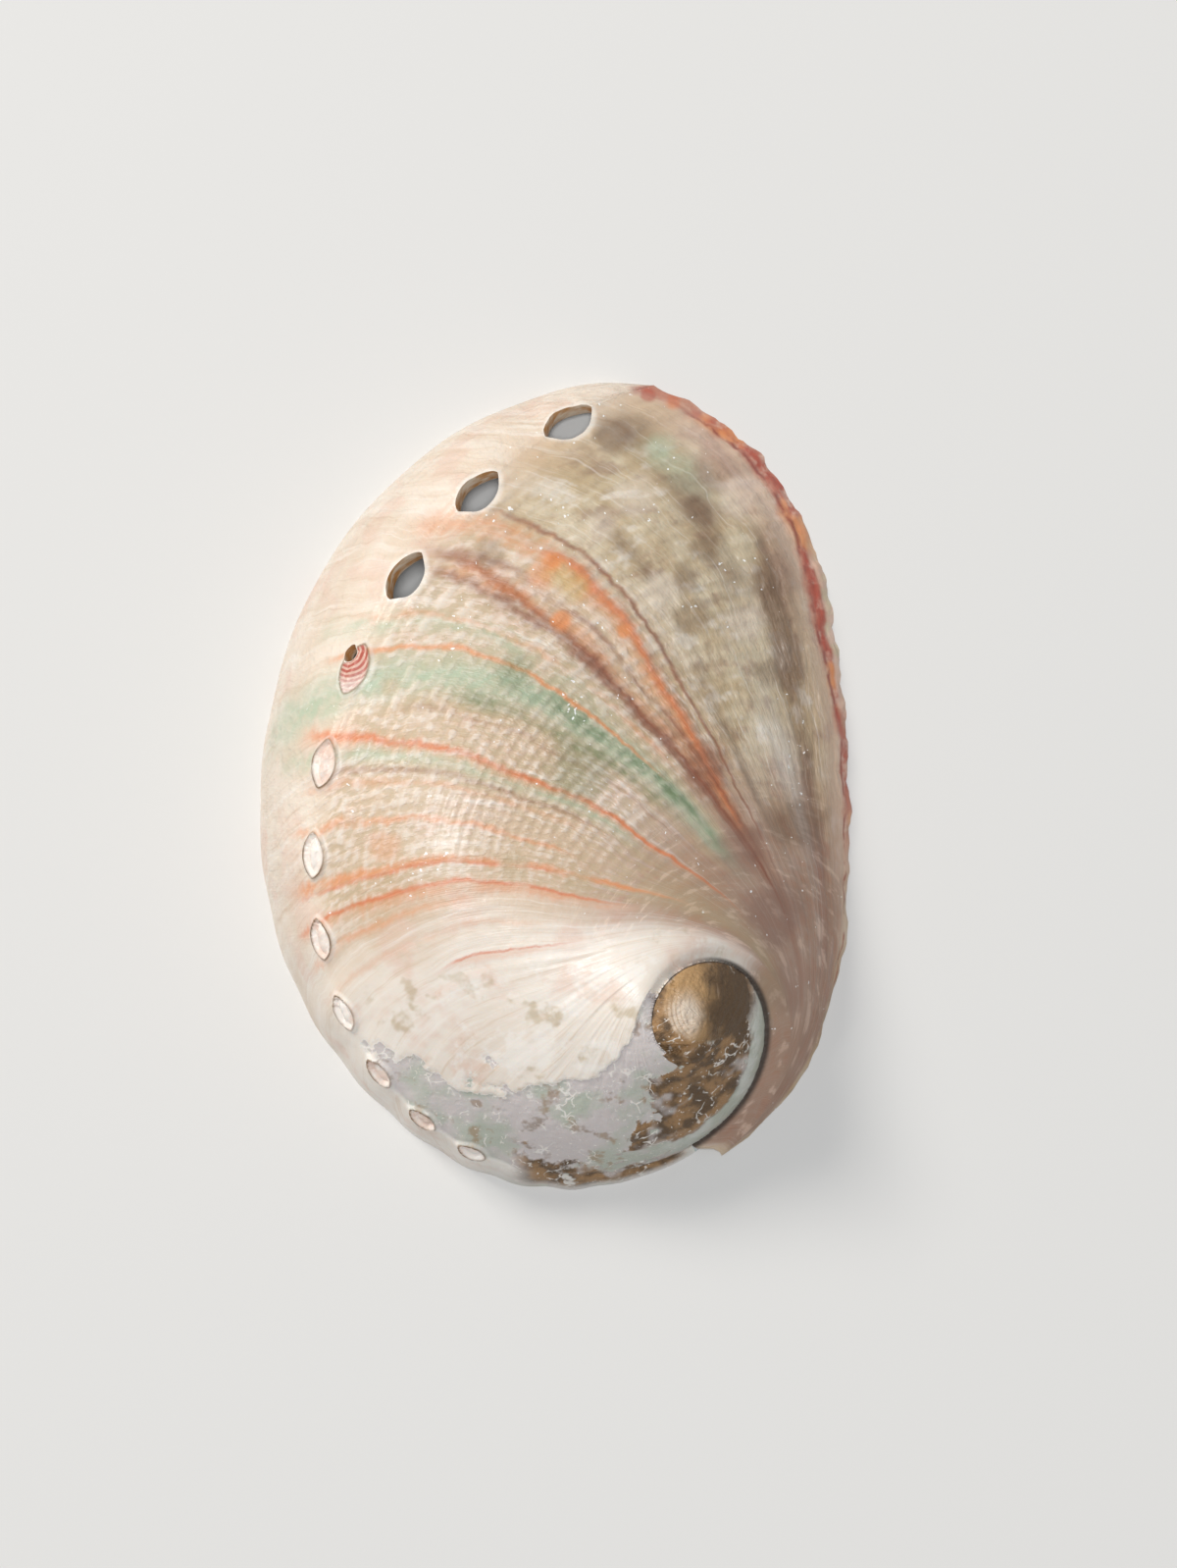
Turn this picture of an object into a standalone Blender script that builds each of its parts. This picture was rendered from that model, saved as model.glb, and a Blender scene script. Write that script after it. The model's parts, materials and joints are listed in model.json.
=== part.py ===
"""Abalone shell: one grown piece, resting on the rim of its mouth.

The shell is a widening spiral about a tilted axis through the tip of the spire. Every growth line is
a smaller, turned copy of the rim, so one section curve and one growth rate give the whole dome, from
the rim back to the nucleus. Outside the row of breathing holes a steep wall drops to the rim and
turns inward into a narrow ledge, which curls up into the spire.

Metres, +Z up. The origin is the middle of the rim's plan, on the plane that the rim rests on.
"""

import math

import bpy
import bmesh
import numpy as np
from mathutils import Matrix, Vector

# Spiral
APEX = np.array((0.01820, -0.02875, 0.0210))
AXIS_TILT = math.radians(29.9)
AXIS_BEARING = math.radians(-33.6)
GROWTH_RATE = 0.3442
TURN = 2.0 * math.pi

# Section of the dome at the newest hole: distance from the axis, height along it
ROW_RADIUS = 0.0660
ROW_HEIGHT = -0.03985
DOME_SECTION = (
    (0.0097, -0.00475),
    (0.0131, -0.00650),
    (0.0212, -0.01144),
    (0.0342, -0.01748),
    (0.0474, -0.02386),
    (0.0570, -0.03060),
    (0.0632, -0.03640),
)

# The early whorls sit a little off the axis of the later ones
SPIRE_SHIFT = np.array((-0.0007, -0.0026, 0.0))
SPIRE_REACH = (0.014, 0.027)

# Side wall: spiral angle in degrees, and how far the foot stands out from the row of holes
WALL_FLARE = (
    (-560.0, 0.0),
    (-300.0, -0.0002),
    (-245.0, -0.0005),
    (-218.0, -0.0002),
    (-198.0, 0.0007),
    (-180.0, 0.0012),
    (-165.0, 0.0015),
    (-140.0, 0.0020),
    (-115.0, 0.0024),
    (-100.0, 0.0033),
    (-75.0, 0.0058),
    (-50.0, 0.0082),
    (-30.0, 0.0095),
    (-13.0, 0.0081),
    (0.0, 0.0046),
    (10.6, 0.0),
)
WALL_DROP = 0.028
DROP_BLEND = 0.0006
WALL_BULGE = 0.6

# Thickness of the shell, thin at the lip and in the spire
THICKNESS = 0.0020
LIP_THICKNESS = 0.0013
LIP_TAPER = math.radians(8.0)
THIN_SPIRE = 0.020
SEAM_REACH = 0.2
SIDEWAYS_LEAST = 0.8
ROW_LEAN = 0.8

# Rim and ledge: lengths, then shares of the ledge's width or the wall's drop
RIM_FLAT = 0.0014
LEDGE_WIDTH = 0.0062
LEDGE_RISE = 0.0014
LEDGE_EDGE = 0.0010
LEDGE_SLANT = 0.88
LEDGE_ROOT = (0.25, 0.12)
LEDGE_FULL_DROP = 0.006
LEDGE_LEAST = 0.45
LEDGE_GROWTH = 2.4
LEDGE_WIDENING = 1.6

# Inner wall: how far down its points sit on a tall wall, how far up from it on a low one
TALL_WALL = (0.0025, 0.0090)
TALL_STOPS = (0.62, 0.30)
LOW_STOPS = (0.75, 0.45, 0.20)

# Relief of the dome: growth in degrees, lengths in metres, shares of the section's length
WAVE_DEPTH = 0.00035
WAVE_STEP = 13.0
WAVE_FADE = 30.0
WAVE_SHARES = (0.05, 0.4)
LUMP_HEIGHT = 0.0003
LUMP_TURNS = 9.0
LUMP_FADE = 4.0
LIP_SPREAD = 0.0012
LIP_SPREAD_FADE = 7.0
LIP_SPREAD_SHARES = (0.10, 0.28, 0.80, 0.94)
KEEL_HEIGHT = 0.0003
KNOB_HEIGHT = 0.0004
ROW_SHARES = (0.86, 1.0)
ROW_BEGIN = (0.0, 6.0)
ROW_FADE = (160.0, 190.0)

# Breathing holes, newest first: open ones, one almost sealed, then sealed pits
HOLE_STEP = math.radians(13.02)
OPEN_HOLES = 3
HOLE_LENGTH = 0.0070
HOLE_WIDTH = 0.0043
SMALL_HOLE_LENGTH = 0.0024
SMALL_HOLE_WIDTH = 0.0018
SMALL_HOLE_SHIFT = (0.0017, 0.0014, 0.0)
SEALED_PITS = 8
PIT_LENGTH = 0.0058
PIT_WIDTH = 0.0034
PIT_DEPTH = 0.0006
CUTTER_LENGTH = 0.012
HOLE_UPRIGHT = np.array((0.0, 0.0, 0.6))

# Mesh density: rows are growth lines, columns run from the seam to the rim
ROWS_TO_SEAM = 32
ROWS_TO_TIP = 80
ROWS_INSIDE = 58
DOME_COLUMNS = 24
WALL_COLUMNS = 5
SEAM_CROWDING = 1.6
LIP_CROWDING = 1.15
CURL_ROWS = 10
UNDER_ROWS = 5
LEDGE_ROWS = (-3.0, 7.0)
INSIDE_ROWS = (0.0, 2.2)
HOLE_SIDES = 16
BOWL_RINGS = 6
CURVE_STEPS = 40
FLARE_STEPS = 400
LIP_SEARCH = (-5.0, 200.0, 0.1)
PROFILE_STEP = 0.01
WELD = 0.00002
TIP_RISE = 0.0005
CEILING_RISE = 0.0005

SHELL_COLOUR = (0.80, 0.66, 0.58, 1.0)


def clear_scene():
    """Remove the objects that the file opens with."""
    for item in list(bpy.data.objects):
        bpy.data.objects.remove(item)


def unit(vectors):
    """Vectors scaled to length one."""
    return vectors / np.linalg.norm(vectors, axis=-1, keepdims=True)


def spiral_axes():
    """Unit vectors of the spiral: its axis, the zero bearing and the bearing a quarter turn on."""
    axis = np.array((
        math.sin(AXIS_TILT) * math.cos(AXIS_BEARING),
        math.sin(AXIS_TILT) * math.sin(AXIS_BEARING),
        math.cos(AXIS_TILT),
    ))
    zero = unit(np.cross(axis, (1.0, 0.0, 0.0)))
    return axis, zero, np.cross(axis, zero)


AXIS, ZERO, QUARTER = spiral_axes()


def smoothstep(low, high, value):
    """Rise from 0 at low to 1 at high, level at both ends."""
    share = np.clip((value - low) / (high - low), 0.0, 1.0)
    return share * share * (3.0 - 2.0 * share)


def spiral_points(angle, radius, height):
    """Points of the spiral at growth angles, clockwise from above and 0 at the newest hole."""
    scale = np.exp(GROWTH_RATE * angle)
    points = (APEX
              + (scale * radius * np.cos(angle))[..., None] * ZERO
              - (scale * radius * np.sin(angle))[..., None] * QUARTER
              + (scale * height)[..., None] * AXIS)
    shift = 1.0 - smoothstep(*SPIRE_REACH, scale * radius)
    return points + shift[..., None] * SPIRE_SHIFT


def smooth_curve(points, fractions):
    """Read a centripetal Catmull-Rom curve through points at fractions of its length."""
    points = np.asarray(points, dtype=float)
    p = np.vstack((2.0 * points[0] - points[1], points, 2.0 * points[-1] - points[-2]))
    knot = np.concatenate(((0.0,), np.cumsum(np.linalg.norm(np.diff(p, axis=0), axis=1) ** 0.5)))

    def between(a, b, low, high, t):
        return (a * (high - t) + b * (t - low)) / (high - low)

    dense = []
    for i in range(1, len(p) - 2):
        t = np.linspace(knot[i], knot[i + 1], CURVE_STEPS)[:, None]
        a1 = between(p[i - 1], p[i], knot[i - 1], knot[i], t)
        a2 = between(p[i], p[i + 1], knot[i], knot[i + 1], t)
        a3 = between(p[i + 1], p[i + 2], knot[i + 1], knot[i + 2], t)
        b1 = between(a1, a2, knot[i - 1], knot[i + 1], t)
        b2 = between(a2, a3, knot[i], knot[i + 2], t)
        dense.append(between(b1, b2, knot[i], knot[i + 1], t))
    dense = np.vstack(dense)
    along = np.concatenate(((0.0,), np.cumsum(np.linalg.norm(np.diff(dense, axis=0), axis=1))))
    wanted = np.asarray(fractions) * along[-1]
    return np.stack([np.interp(wanted, along, dense[:, k]) for k in range(p.shape[1])], axis=-1)


def column_shares():
    """Share of the section's length at each column, closer together near the seam."""
    return np.linspace(0.0, 1.0, DOME_COLUMNS + 1) ** SEAM_CROWDING


def dome_section():
    """Radius and height of the section, from the seam with the whorl inside to the row of holes."""
    shrink = math.exp(-TURN * GROWTH_RATE)
    seam = (ROW_RADIUS * shrink, ROW_HEIGHT * shrink)
    points = (seam,) + DOME_SECTION + ((ROW_RADIUS, ROW_HEIGHT),)
    return smooth_curve(points, column_shares())


def lip_angles(section):
    """Growth angle at which each line of the section reaches the rest plane, or comes closest."""
    angles = np.radians(np.arange(*LIP_SEARCH))
    result = []
    for radius, height in section:
        z = spiral_points(angles, radius, height)[:, 2]
        below = np.nonzero(z <= 0.0)[0]
        if len(below):
            i = below[0]
            share = z[i - 1] / (z[i - 1] - z[i])
            result.append(angles[i - 1] + share * (angles[i] - angles[i - 1]))
        else:
            result.append(angles[np.argmin(z)])
    return np.array(result)


class Dome:
    """The outside of the dome: rows are growth lines back from the rim, columns run seam to row."""

    def __init__(self):
        section = dome_section()
        lips = lip_angles(section)
        seam_shift = TURN - (lips[0] - lips[-1])
        whorl, place = np.divmod(np.arange(ROWS_TO_TIP + 1), ROWS_TO_SEAM)
        self.grown = seam_shift * (whorl + (place / ROWS_TO_SEAM) ** LIP_CROWDING)
        self.angles = lips[None, :] - self.grown[:, None]
        self.points = spiral_points(self.angles, section[None, :, 0], section[None, :, 1])
        self.points[0, :, 2] = np.where(self.points[0, :, 2] < WELD, 0.0, self.points[0, :, 2])
        self.raise_relief()
        self.normals = self.outward()

    def outward(self):
        """Outward normals at the grid's points."""
        return unit(np.cross(np.gradient(self.points, axis=1), np.gradient(self.points, axis=0)))

    def raise_relief(self):
        """Growth waves, a lumpy spread lip and the swollen row of holes, none lifting the rim."""
        share = column_shares()[None, :]
        grown = np.degrees(self.grown)[:, None]
        fade = np.exp(-grown / WAVE_FADE)
        waves = -WAVE_DEPTH * np.cos(TURN * grown / WAVE_STEP) * fade * smoothstep(*WAVE_SHARES, share)
        lumps = LUMP_HEIGHT * np.sin(LUMP_TURNS * TURN * share) * np.exp(-grown / LUMP_FADE)
        begin, full, ending, end = LIP_SPREAD_SHARES
        spread = LIP_SPREAD * smoothstep(begin, full, share) * (1.0 - smoothstep(ending, end, share))
        spread = spread * np.exp(-grown / LIP_SPREAD_FADE)
        beat = 0.5 + 0.5 * np.cos(TURN * self.angles[:, -1:] / HOLE_STEP)
        swollen = (KEEL_HEIGHT + KNOB_HEIGHT * beat) * smoothstep(*ROW_SHARES, share)
        swollen = swollen * smoothstep(*ROW_BEGIN, grown) * (1.0 - smoothstep(*ROW_FADE, grown))
        lift = (waves + lumps + spread + swollen)[..., None] * self.outward()
        lift[0, :, 2] = 0.0
        self.points = self.points + lift
        self.points[:-ROWS_TO_SEAM, 0] = self.points[ROWS_TO_SEAM:, -1]


def wall_thickness(grown, row_angles):
    """Wall thickness at each growth line: thin at the lip, and again in the small early whorls."""
    full = LIP_THICKNESS + (THICKNESS - LIP_THICKNESS) * (1.0 - np.exp(-grown / LIP_TAPER))
    size = ROW_RADIUS * np.exp(GROWTH_RATE * row_angles)
    return full * np.minimum(1.0, size / THIN_SPIRE)


def dome_thickness(dome):
    """Thickness at the inner grid's points, by the seam that of the whorl inside."""
    thickness = wall_thickness(dome.grown, dome.angles[:, -1])
    rows = np.arange(ROWS_INSIDE + 1)
    at_seam = np.minimum(thickness[rows], thickness[np.minimum(rows + ROWS_TO_SEAM, ROWS_TO_TIP)])
    share = smoothstep(0.0, SEAM_REACH, column_shares())[None, :]
    return share * thickness[rows, None] + (1.0 - share) * at_seam[:, None]


def inset(points, normals, thickness):
    """Points moved in by the wall thickness, sideways only where they meet the rest plane."""
    near = np.exp(-points[..., 2] / thickness)[..., None]
    flat = normals * (1.0, 1.0, 0.0)
    length = np.maximum(np.linalg.norm(flat, axis=-1, keepdims=True), 1e-6)
    wide = np.maximum(length, SIDEWAYS_LEAST)
    sideways = flat / length * (length * (1.0 - near) + wide * near)
    upwards = normals * (0.0, 0.0, 1.0) * (1.0 - near)
    return points - thickness[..., None] * (sideways + upwards)


def wall_profile(share, bulge):
    """Shares of the wall's flare and drop at a share of the way down, straight to rounded."""
    turn = 0.5 * math.pi * share
    sideways = share + bulge * (math.sin(turn) - share)
    down = share + bulge * (1.0 - math.cos(turn) - share)
    return sideways, down


class Wall:
    """Sections of the side wall and its ledge, one for each growth line at the row of holes."""

    def __init__(self, dome):
        rows = np.arange(ROWS_INSIDE + 1)
        self.top = dome.points[rows, -1]
        curled = smoothstep(ROWS_TO_SEAM, ROWS_TO_SEAM + CURL_ROWS, rows)[:, None]
        self.up = unit(curled * AXIS + (1.0 - curled) * (0.0, 0.0, 1.0))
        self.out = unit(np.cross(np.gradient(dome.points[:, -1], axis=0)[rows], self.up))
        angles = dome.angles[rows, -1]
        scale = np.exp(GROWTH_RATE * angles)
        self.thickness = wall_thickness(dome.grown[rows], angles)
        bearings, flares = np.transpose(smooth_curve(WALL_FLARE, np.linspace(0.0, 1.0, FLARE_STEPS)))
        self.flare = np.interp(np.degrees(angles), bearings, flares)
        height = self.top[:, 2]
        reach = WALL_DROP * scale
        free = -0.5 * (height + reach) + np.sqrt(0.25 * (height - reach) ** 2 + DROP_BLEND ** 2)
        self.drop = np.where(rows <= ROWS_TO_SEAM, height, np.minimum(height, -free))
        self.scale = scale
        self.rows = rows

    def place(self, out, up):
        """Points at distances out from the row of holes and up from the wall's foot."""
        return self.top + self.out * out[:, None] + self.up * (up - self.drop)[:, None]

    def behind_wall(self, share):
        """Points of the inner wall at a share of the way down the outer one."""
        sideways, down = wall_profile(share, WALL_BULGE)
        near_sideways, near_down = wall_profile(share + PROFILE_STEP, WALL_BULGE)
        run = (near_sideways - sideways) * self.flare
        fall = (near_down - down) * self.drop
        length = np.maximum(np.hypot(run, fall), 1e-9)
        out = sideways * self.flare - self.thickness * fall / length
        up = (1.0 - down) * self.drop - self.thickness * run / length
        return self.place(out, np.maximum(up, 0.0))

    def outside(self, inner_seam):
        """Outer columns from the row of holes, or the seam above it, down to the foot."""
        covered_rows = len(self.rows) - ROWS_TO_SEAM
        start = self.top.copy()
        start[ROWS_TO_SEAM:] = inner_seam[:covered_rows]
        under = smoothstep(ROWS_TO_SEAM - UNDER_ROWS, ROWS_TO_SEAM, self.rows)
        start[:ROWS_TO_SEAM, 2] -= (under * self.thickness[0])[:ROWS_TO_SEAM]
        foot = self.place(self.flare, 0.0 * self.rows)
        columns = [start]
        for k in range(1, WALL_COLUMNS + 1):
            sideways, down = wall_profile(k / WALL_COLUMNS, WALL_BULGE * (1.0 - under))
            columns.append(start + np.stack((sideways, sideways, down), axis=1) * (foot - start))
        grid = np.stack(columns, axis=1)
        free = grid[:ROWS_TO_SEAM + 1].copy()
        free[:, 0] = self.top[:ROWS_TO_SEAM + 1]
        return free, grid[ROWS_TO_SEAM:]

    def inside(self, inner_row):
        """Columns from the foot over the ledge and up the inner wall to the inner row."""
        low_wall = np.clip(self.drop / LEDGE_FULL_DROP, LEDGE_LEAST, 1.0)
        size = low_wall * np.minimum(1.0, LEDGE_GROWTH * self.scale)
        width = LEDGE_WIDTH * np.minimum(1.0, LEDGE_WIDENING * self.scale)
        width = width * smoothstep(*LEDGE_ROWS, self.rows)
        edge_up = (LEDGE_RISE + LEDGE_EDGE) * size
        foot = self.place(self.flare, 0.0 * self.rows)
        rim = self.place(self.flare - RIM_FLAT * size, 0.0 * self.rows)
        under = self.place(self.flare - width, LEDGE_RISE * size)
        edge = self.place(self.flare - LEDGE_SLANT * width, edge_up)
        root_in, root_up = LEDGE_ROOT
        root = self.place(self.flare - self.thickness - root_in * width, edge_up + root_up * self.drop)
        full_wall = [root] + [self.behind_wall(stop) for stop in TALL_STOPS]
        tall = smoothstep(*TALL_WALL, self.drop)[:, None]
        wall = []
        for share, full in zip(LOW_STOPS, full_wall):
            plain = inner_row + share * (edge - inner_row)
            wall.append(plain + tall * (full - plain))
        columns = np.stack([foot, rim, under, edge] + wall + [inner_row], axis=1)
        begun = smoothstep(*INSIDE_ROWS, self.rows)[:, None, None]
        columns[:, 1:] = inner_row[:, None] + begun * (columns[:, 1:] - inner_row[:, None])
        return columns


class SheetMesh:
    """Collects grids of points as faces of one mesh, and welds the edges that they share."""

    def __init__(self):
        self.mesh = bmesh.new()

    def add_points(self, points):
        """New vertices for points of any array shape, returned as a flat list."""
        return [self.mesh.verts.new(p) for p in points.reshape(-1, 3)]

    def add_grid(self, points):
        """Quads between the rows and columns of a grid."""
        rows, columns = points.shape[:2]
        verts = self.add_points(points)
        for i in range(rows - 1):
            for j in range(columns - 1):
                a = i * columns + j
                self.mesh.faces.new((verts[a], verts[a + 1], verts[a + columns + 1], verts[a + columns]))

    def add_face(self, points):
        """One flat face round a ring of points."""
        self.mesh.faces.new(self.add_points(np.asarray(points)))

    def add_fan(self, ring, centre):
        """Triangles from a ring of points to a centre."""
        verts = self.add_points(np.vstack((ring, centre)))
        for a, b in zip(verts[:-1], verts[1:-1] + verts[:1]):
            self.mesh.faces.new((a, b, verts[-1]))

    def finish(self, name):
        """Weld, drop what the weld has flattened, split into triangles and face outwards."""
        mesh = self.mesh
        bmesh.ops.remove_doubles(mesh, verts=mesh.verts, dist=WELD)
        bmesh.ops.dissolve_degenerate(mesh, dist=WELD * 0.5, edges=mesh.edges)
        bmesh.ops.triangulate(mesh, faces=mesh.faces)
        bmesh.ops.recalc_face_normals(mesh, faces=mesh.faces)
        data = bpy.data.meshes.new(name)
        mesh.to_mesh(data)
        mesh.free()
        return data


def shell_body(dome, wall):
    """The closed shell before its holes are cut."""
    rows = slice(0, ROWS_INSIDE + 1)
    normals = dome.normals[rows].copy()
    normals[:, -1] = row_normals(dome, wall)
    inner = inset(dome.points[rows], normals, dome_thickness(dome))
    free, covered = wall.outside(inner[:, 0])
    ledge = wall.inside(inner[:, -1])

    sheets = SheetMesh()
    sheets.add_grid(dome.points)
    sheets.add_grid(inner)
    sheets.add_grid(np.stack((dome.points[0], inner[0])))
    sheets.add_grid(free)
    sheets.add_grid(covered)
    sheets.add_grid(ledge)
    sheets.add_face((free[-1, 0], covered[0, 0], covered[0, 1]))
    sheets.add_face(np.vstack((covered[-1], ledge[-1, 1:])))

    seam_end = slice(ROWS_INSIDE - ROWS_TO_SEAM, ROWS_INSIDE)
    ceiling = np.vstack((inner[seam_end, 0], inner[-1]))
    sheets.add_fan(ceiling, ceiling.mean(axis=0) + CEILING_RISE * AXIS)
    tip_end = slice(ROWS_TO_TIP - ROWS_TO_SEAM, ROWS_TO_TIP)
    tip = np.vstack((dome.points[tip_end, 0], dome.points[-1, :-1]))
    sheets.add_fan(tip, tip.mean(axis=0) + TIP_RISE * AXIS)
    return sheets.finish("shell")


def row_normals(dome, wall):
    """Directions out of the shell along the row of holes, between dome and wall."""
    return unit(dome.normals[:ROWS_INSIDE + 1, -1] + ROW_LEAN * wall.out)


def hole_frame(dome, wall, angle):
    """Matrix of a hole on the row: X along the row, Z straight out of the shell."""
    rows = np.arange(ROWS_INSIDE + 1)
    row = np.interp(-angle, -dome.angles[rows, -1], rows)
    i = int(row)
    share = row - i
    at = (1.0 - share) * wall.top[i] + share * wall.top[i + 1]
    normals = row_normals(dome, wall)
    out = Vector((1.0 - share) * normals[i] + share * normals[i + 1] + HOLE_UPRIGHT).normalized()
    along = Vector(wall.top[i] - wall.top[i + 1])
    side = out.cross(along).normalized()
    frame = Matrix((side.cross(out), side, out)).transposed().to_4x4()
    frame.translation = Vector(at)
    return frame


def add_tube(mesh, frame, length, width):
    """Oval tube for a hole that goes right through."""
    size = Matrix.Diagonal((length, width, CUTTER_LENGTH, 1.0))
    bmesh.ops.create_cone(mesh, cap_ends=True, segments=HOLE_SIDES, radius1=0.5, radius2=0.5, depth=1.0,
                          matrix=frame @ size)


def add_bowl(mesh, frame, length, width, depth):
    """Oval bowl for a sealed hole."""
    size = Matrix.Diagonal((0.5 * length, 0.5 * width, depth, 1.0))
    bmesh.ops.create_uvsphere(mesh, u_segments=HOLE_SIDES, v_segments=BOWL_RINGS, radius=1.0,
                              matrix=frame @ size)


def cut(shell, name, mesh):
    """Take a hidden cutting solid away from the shell."""
    data = bpy.data.meshes.new(name)
    mesh.to_mesh(data)
    mesh.free()
    tool = bpy.data.objects.new(name, data)
    bpy.context.scene.collection.objects.link(tool)
    tool.hide_render = True
    tool.display_type = "WIRE"
    boolean = shell.modifiers.new(name, "BOOLEAN")
    boolean.operation = "DIFFERENCE"
    boolean.solver = "EXACT"
    boolean.object = tool


def cut_holes(shell, dome, wall):
    """Open holes, the hole that is closing up, and the pits of the sealed ones."""
    pits = bmesh.new()
    for k in range(OPEN_HOLES, OPEN_HOLES + SEALED_PITS):
        size = math.exp(-GROWTH_RATE * (k - OPEN_HOLES) * HOLE_STEP)
        frame = hole_frame(dome, wall, -k * HOLE_STEP)
        add_bowl(pits, frame, PIT_LENGTH * size, PIT_WIDTH * size, PIT_DEPTH)
    cut(shell, "sealed_pits", pits)

    holes = bmesh.new()
    for k in range(OPEN_HOLES):
        add_tube(holes, hole_frame(dome, wall, -k * HOLE_STEP), HOLE_LENGTH, HOLE_WIDTH)
    closing = hole_frame(dome, wall, -OPEN_HOLES * HOLE_STEP)
    add_tube(holes, closing @ Matrix.Translation(SMALL_HOLE_SHIFT), SMALL_HOLE_LENGTH, SMALL_HOLE_WIDTH)
    cut(shell, "open_holes", holes)


def shell_material():
    """Polished shell, pale pinkish cream."""
    material = bpy.data.materials.new("polished_shell")
    material.use_nodes = True
    finish = material.node_tree.nodes["Principled BSDF"]
    finish.inputs["Base Color"].default_value = SHELL_COLOUR
    finish.inputs["Roughness"].default_value = 0.25
    finish.inputs["Metallic"].default_value = 0.0
    return material


def main():
    """Build the shell and cut its holes."""
    clear_scene()
    dome = Dome()
    wall = Wall(dome)
    shell = bpy.data.objects.new("shell", shell_body(dome, wall))
    bpy.context.scene.collection.objects.link(shell)
    shell.data.materials.append(shell_material())
    shell.data.shade_smooth()
    cut_holes(shell, dome, wall)


main()
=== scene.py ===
"""Looks of the polished abalone shell: fine surface, coloured growth bands, nacre, floor and light.

The shell is grown again at a fine scale by the same rule as the solid. A node tree places the dome on
its widening spiral, and a second one raises the relief: growth ridges, the lumpy red lip, the mounds
and rings of the breathing holes, and the step where the outer layer has worn away.

Metres, +Z up. Growth is counted in degrees back from the lip. Share runs from 0 at the seam with the
whorl inside to 1 at the row of holes, and on past 1 down the side wall.
"""

import json
import logging
import math
from dataclasses import dataclass, field
from enum import Enum
from typing import Sequence

import bmesh
import bpy
import numpy as np
from mathutils import Matrix, Vector

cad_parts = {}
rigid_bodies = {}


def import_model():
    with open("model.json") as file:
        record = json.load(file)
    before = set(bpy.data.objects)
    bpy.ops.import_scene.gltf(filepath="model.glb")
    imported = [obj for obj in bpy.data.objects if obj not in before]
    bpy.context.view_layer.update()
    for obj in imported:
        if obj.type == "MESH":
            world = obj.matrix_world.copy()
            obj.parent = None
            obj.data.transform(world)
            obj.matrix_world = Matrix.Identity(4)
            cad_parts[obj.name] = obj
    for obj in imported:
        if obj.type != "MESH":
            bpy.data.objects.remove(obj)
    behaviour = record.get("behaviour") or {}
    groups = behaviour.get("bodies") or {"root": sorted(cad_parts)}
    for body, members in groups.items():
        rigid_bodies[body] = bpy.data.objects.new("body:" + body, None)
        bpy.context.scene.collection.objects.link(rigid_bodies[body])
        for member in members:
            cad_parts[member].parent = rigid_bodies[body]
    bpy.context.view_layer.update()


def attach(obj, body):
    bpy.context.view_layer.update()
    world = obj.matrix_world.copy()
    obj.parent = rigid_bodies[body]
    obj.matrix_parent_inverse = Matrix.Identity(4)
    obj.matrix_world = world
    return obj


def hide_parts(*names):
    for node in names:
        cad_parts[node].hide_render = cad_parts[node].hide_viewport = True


LOG = logging.getLogger("abalone")
TURN = 2.0 * math.pi
MM = 0.001
GROWTH_UNIT = 100.0
CORD_COUNT = 38.0
Colour = tuple[float, float, float, float]


def clear_startup() -> None:
    """Remove the objects that the file opens with."""
    for item in list(bpy.data.objects):
        bpy.data.objects.remove(item)


clear_startup()
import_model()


def tint(red: int, green: int, blue: int) -> Colour:
    """Turn a screen colour into the linear one that shaders use.

    Args:
        red: Red, 0 to 255.
        green: Green, 0 to 255.
        blue: Blue, 0 to 255.

    Returns:
        Linear red, green and blue, and an alpha of 1.
    """
    shares = [channel / 255.0 for channel in (red, green, blue)]
    linear = [c / 12.92 if c <= 0.04045 else ((c + 0.055) / 1.055) ** 2.4 for c in shares]
    return (*linear, 1.0)


def unit(vectors: np.ndarray) -> np.ndarray:
    """Vectors scaled to length one."""
    return vectors / np.linalg.norm(vectors, axis=-1, keepdims=True)


def smoothstep(low: float, high: float, value: np.ndarray) -> np.ndarray:
    """Rise from 0 at low to 1 at high, level at both ends."""
    share = np.clip((value - low) / (high - low), 0.0, 1.0)
    return share * share * (3.0 - 2.0 * share)


def add_object(name: str, data: bpy.types.ID) -> bpy.types.Object:
    """Make an object of a mesh, light or camera and put it in the scene.

    Args:
        name: The object's name.
        data: What it shows.

    Returns:
        The object.
    """
    made = bpy.data.objects.new(name, data)
    bpy.context.scene.collection.objects.link(made)
    return made


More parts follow.
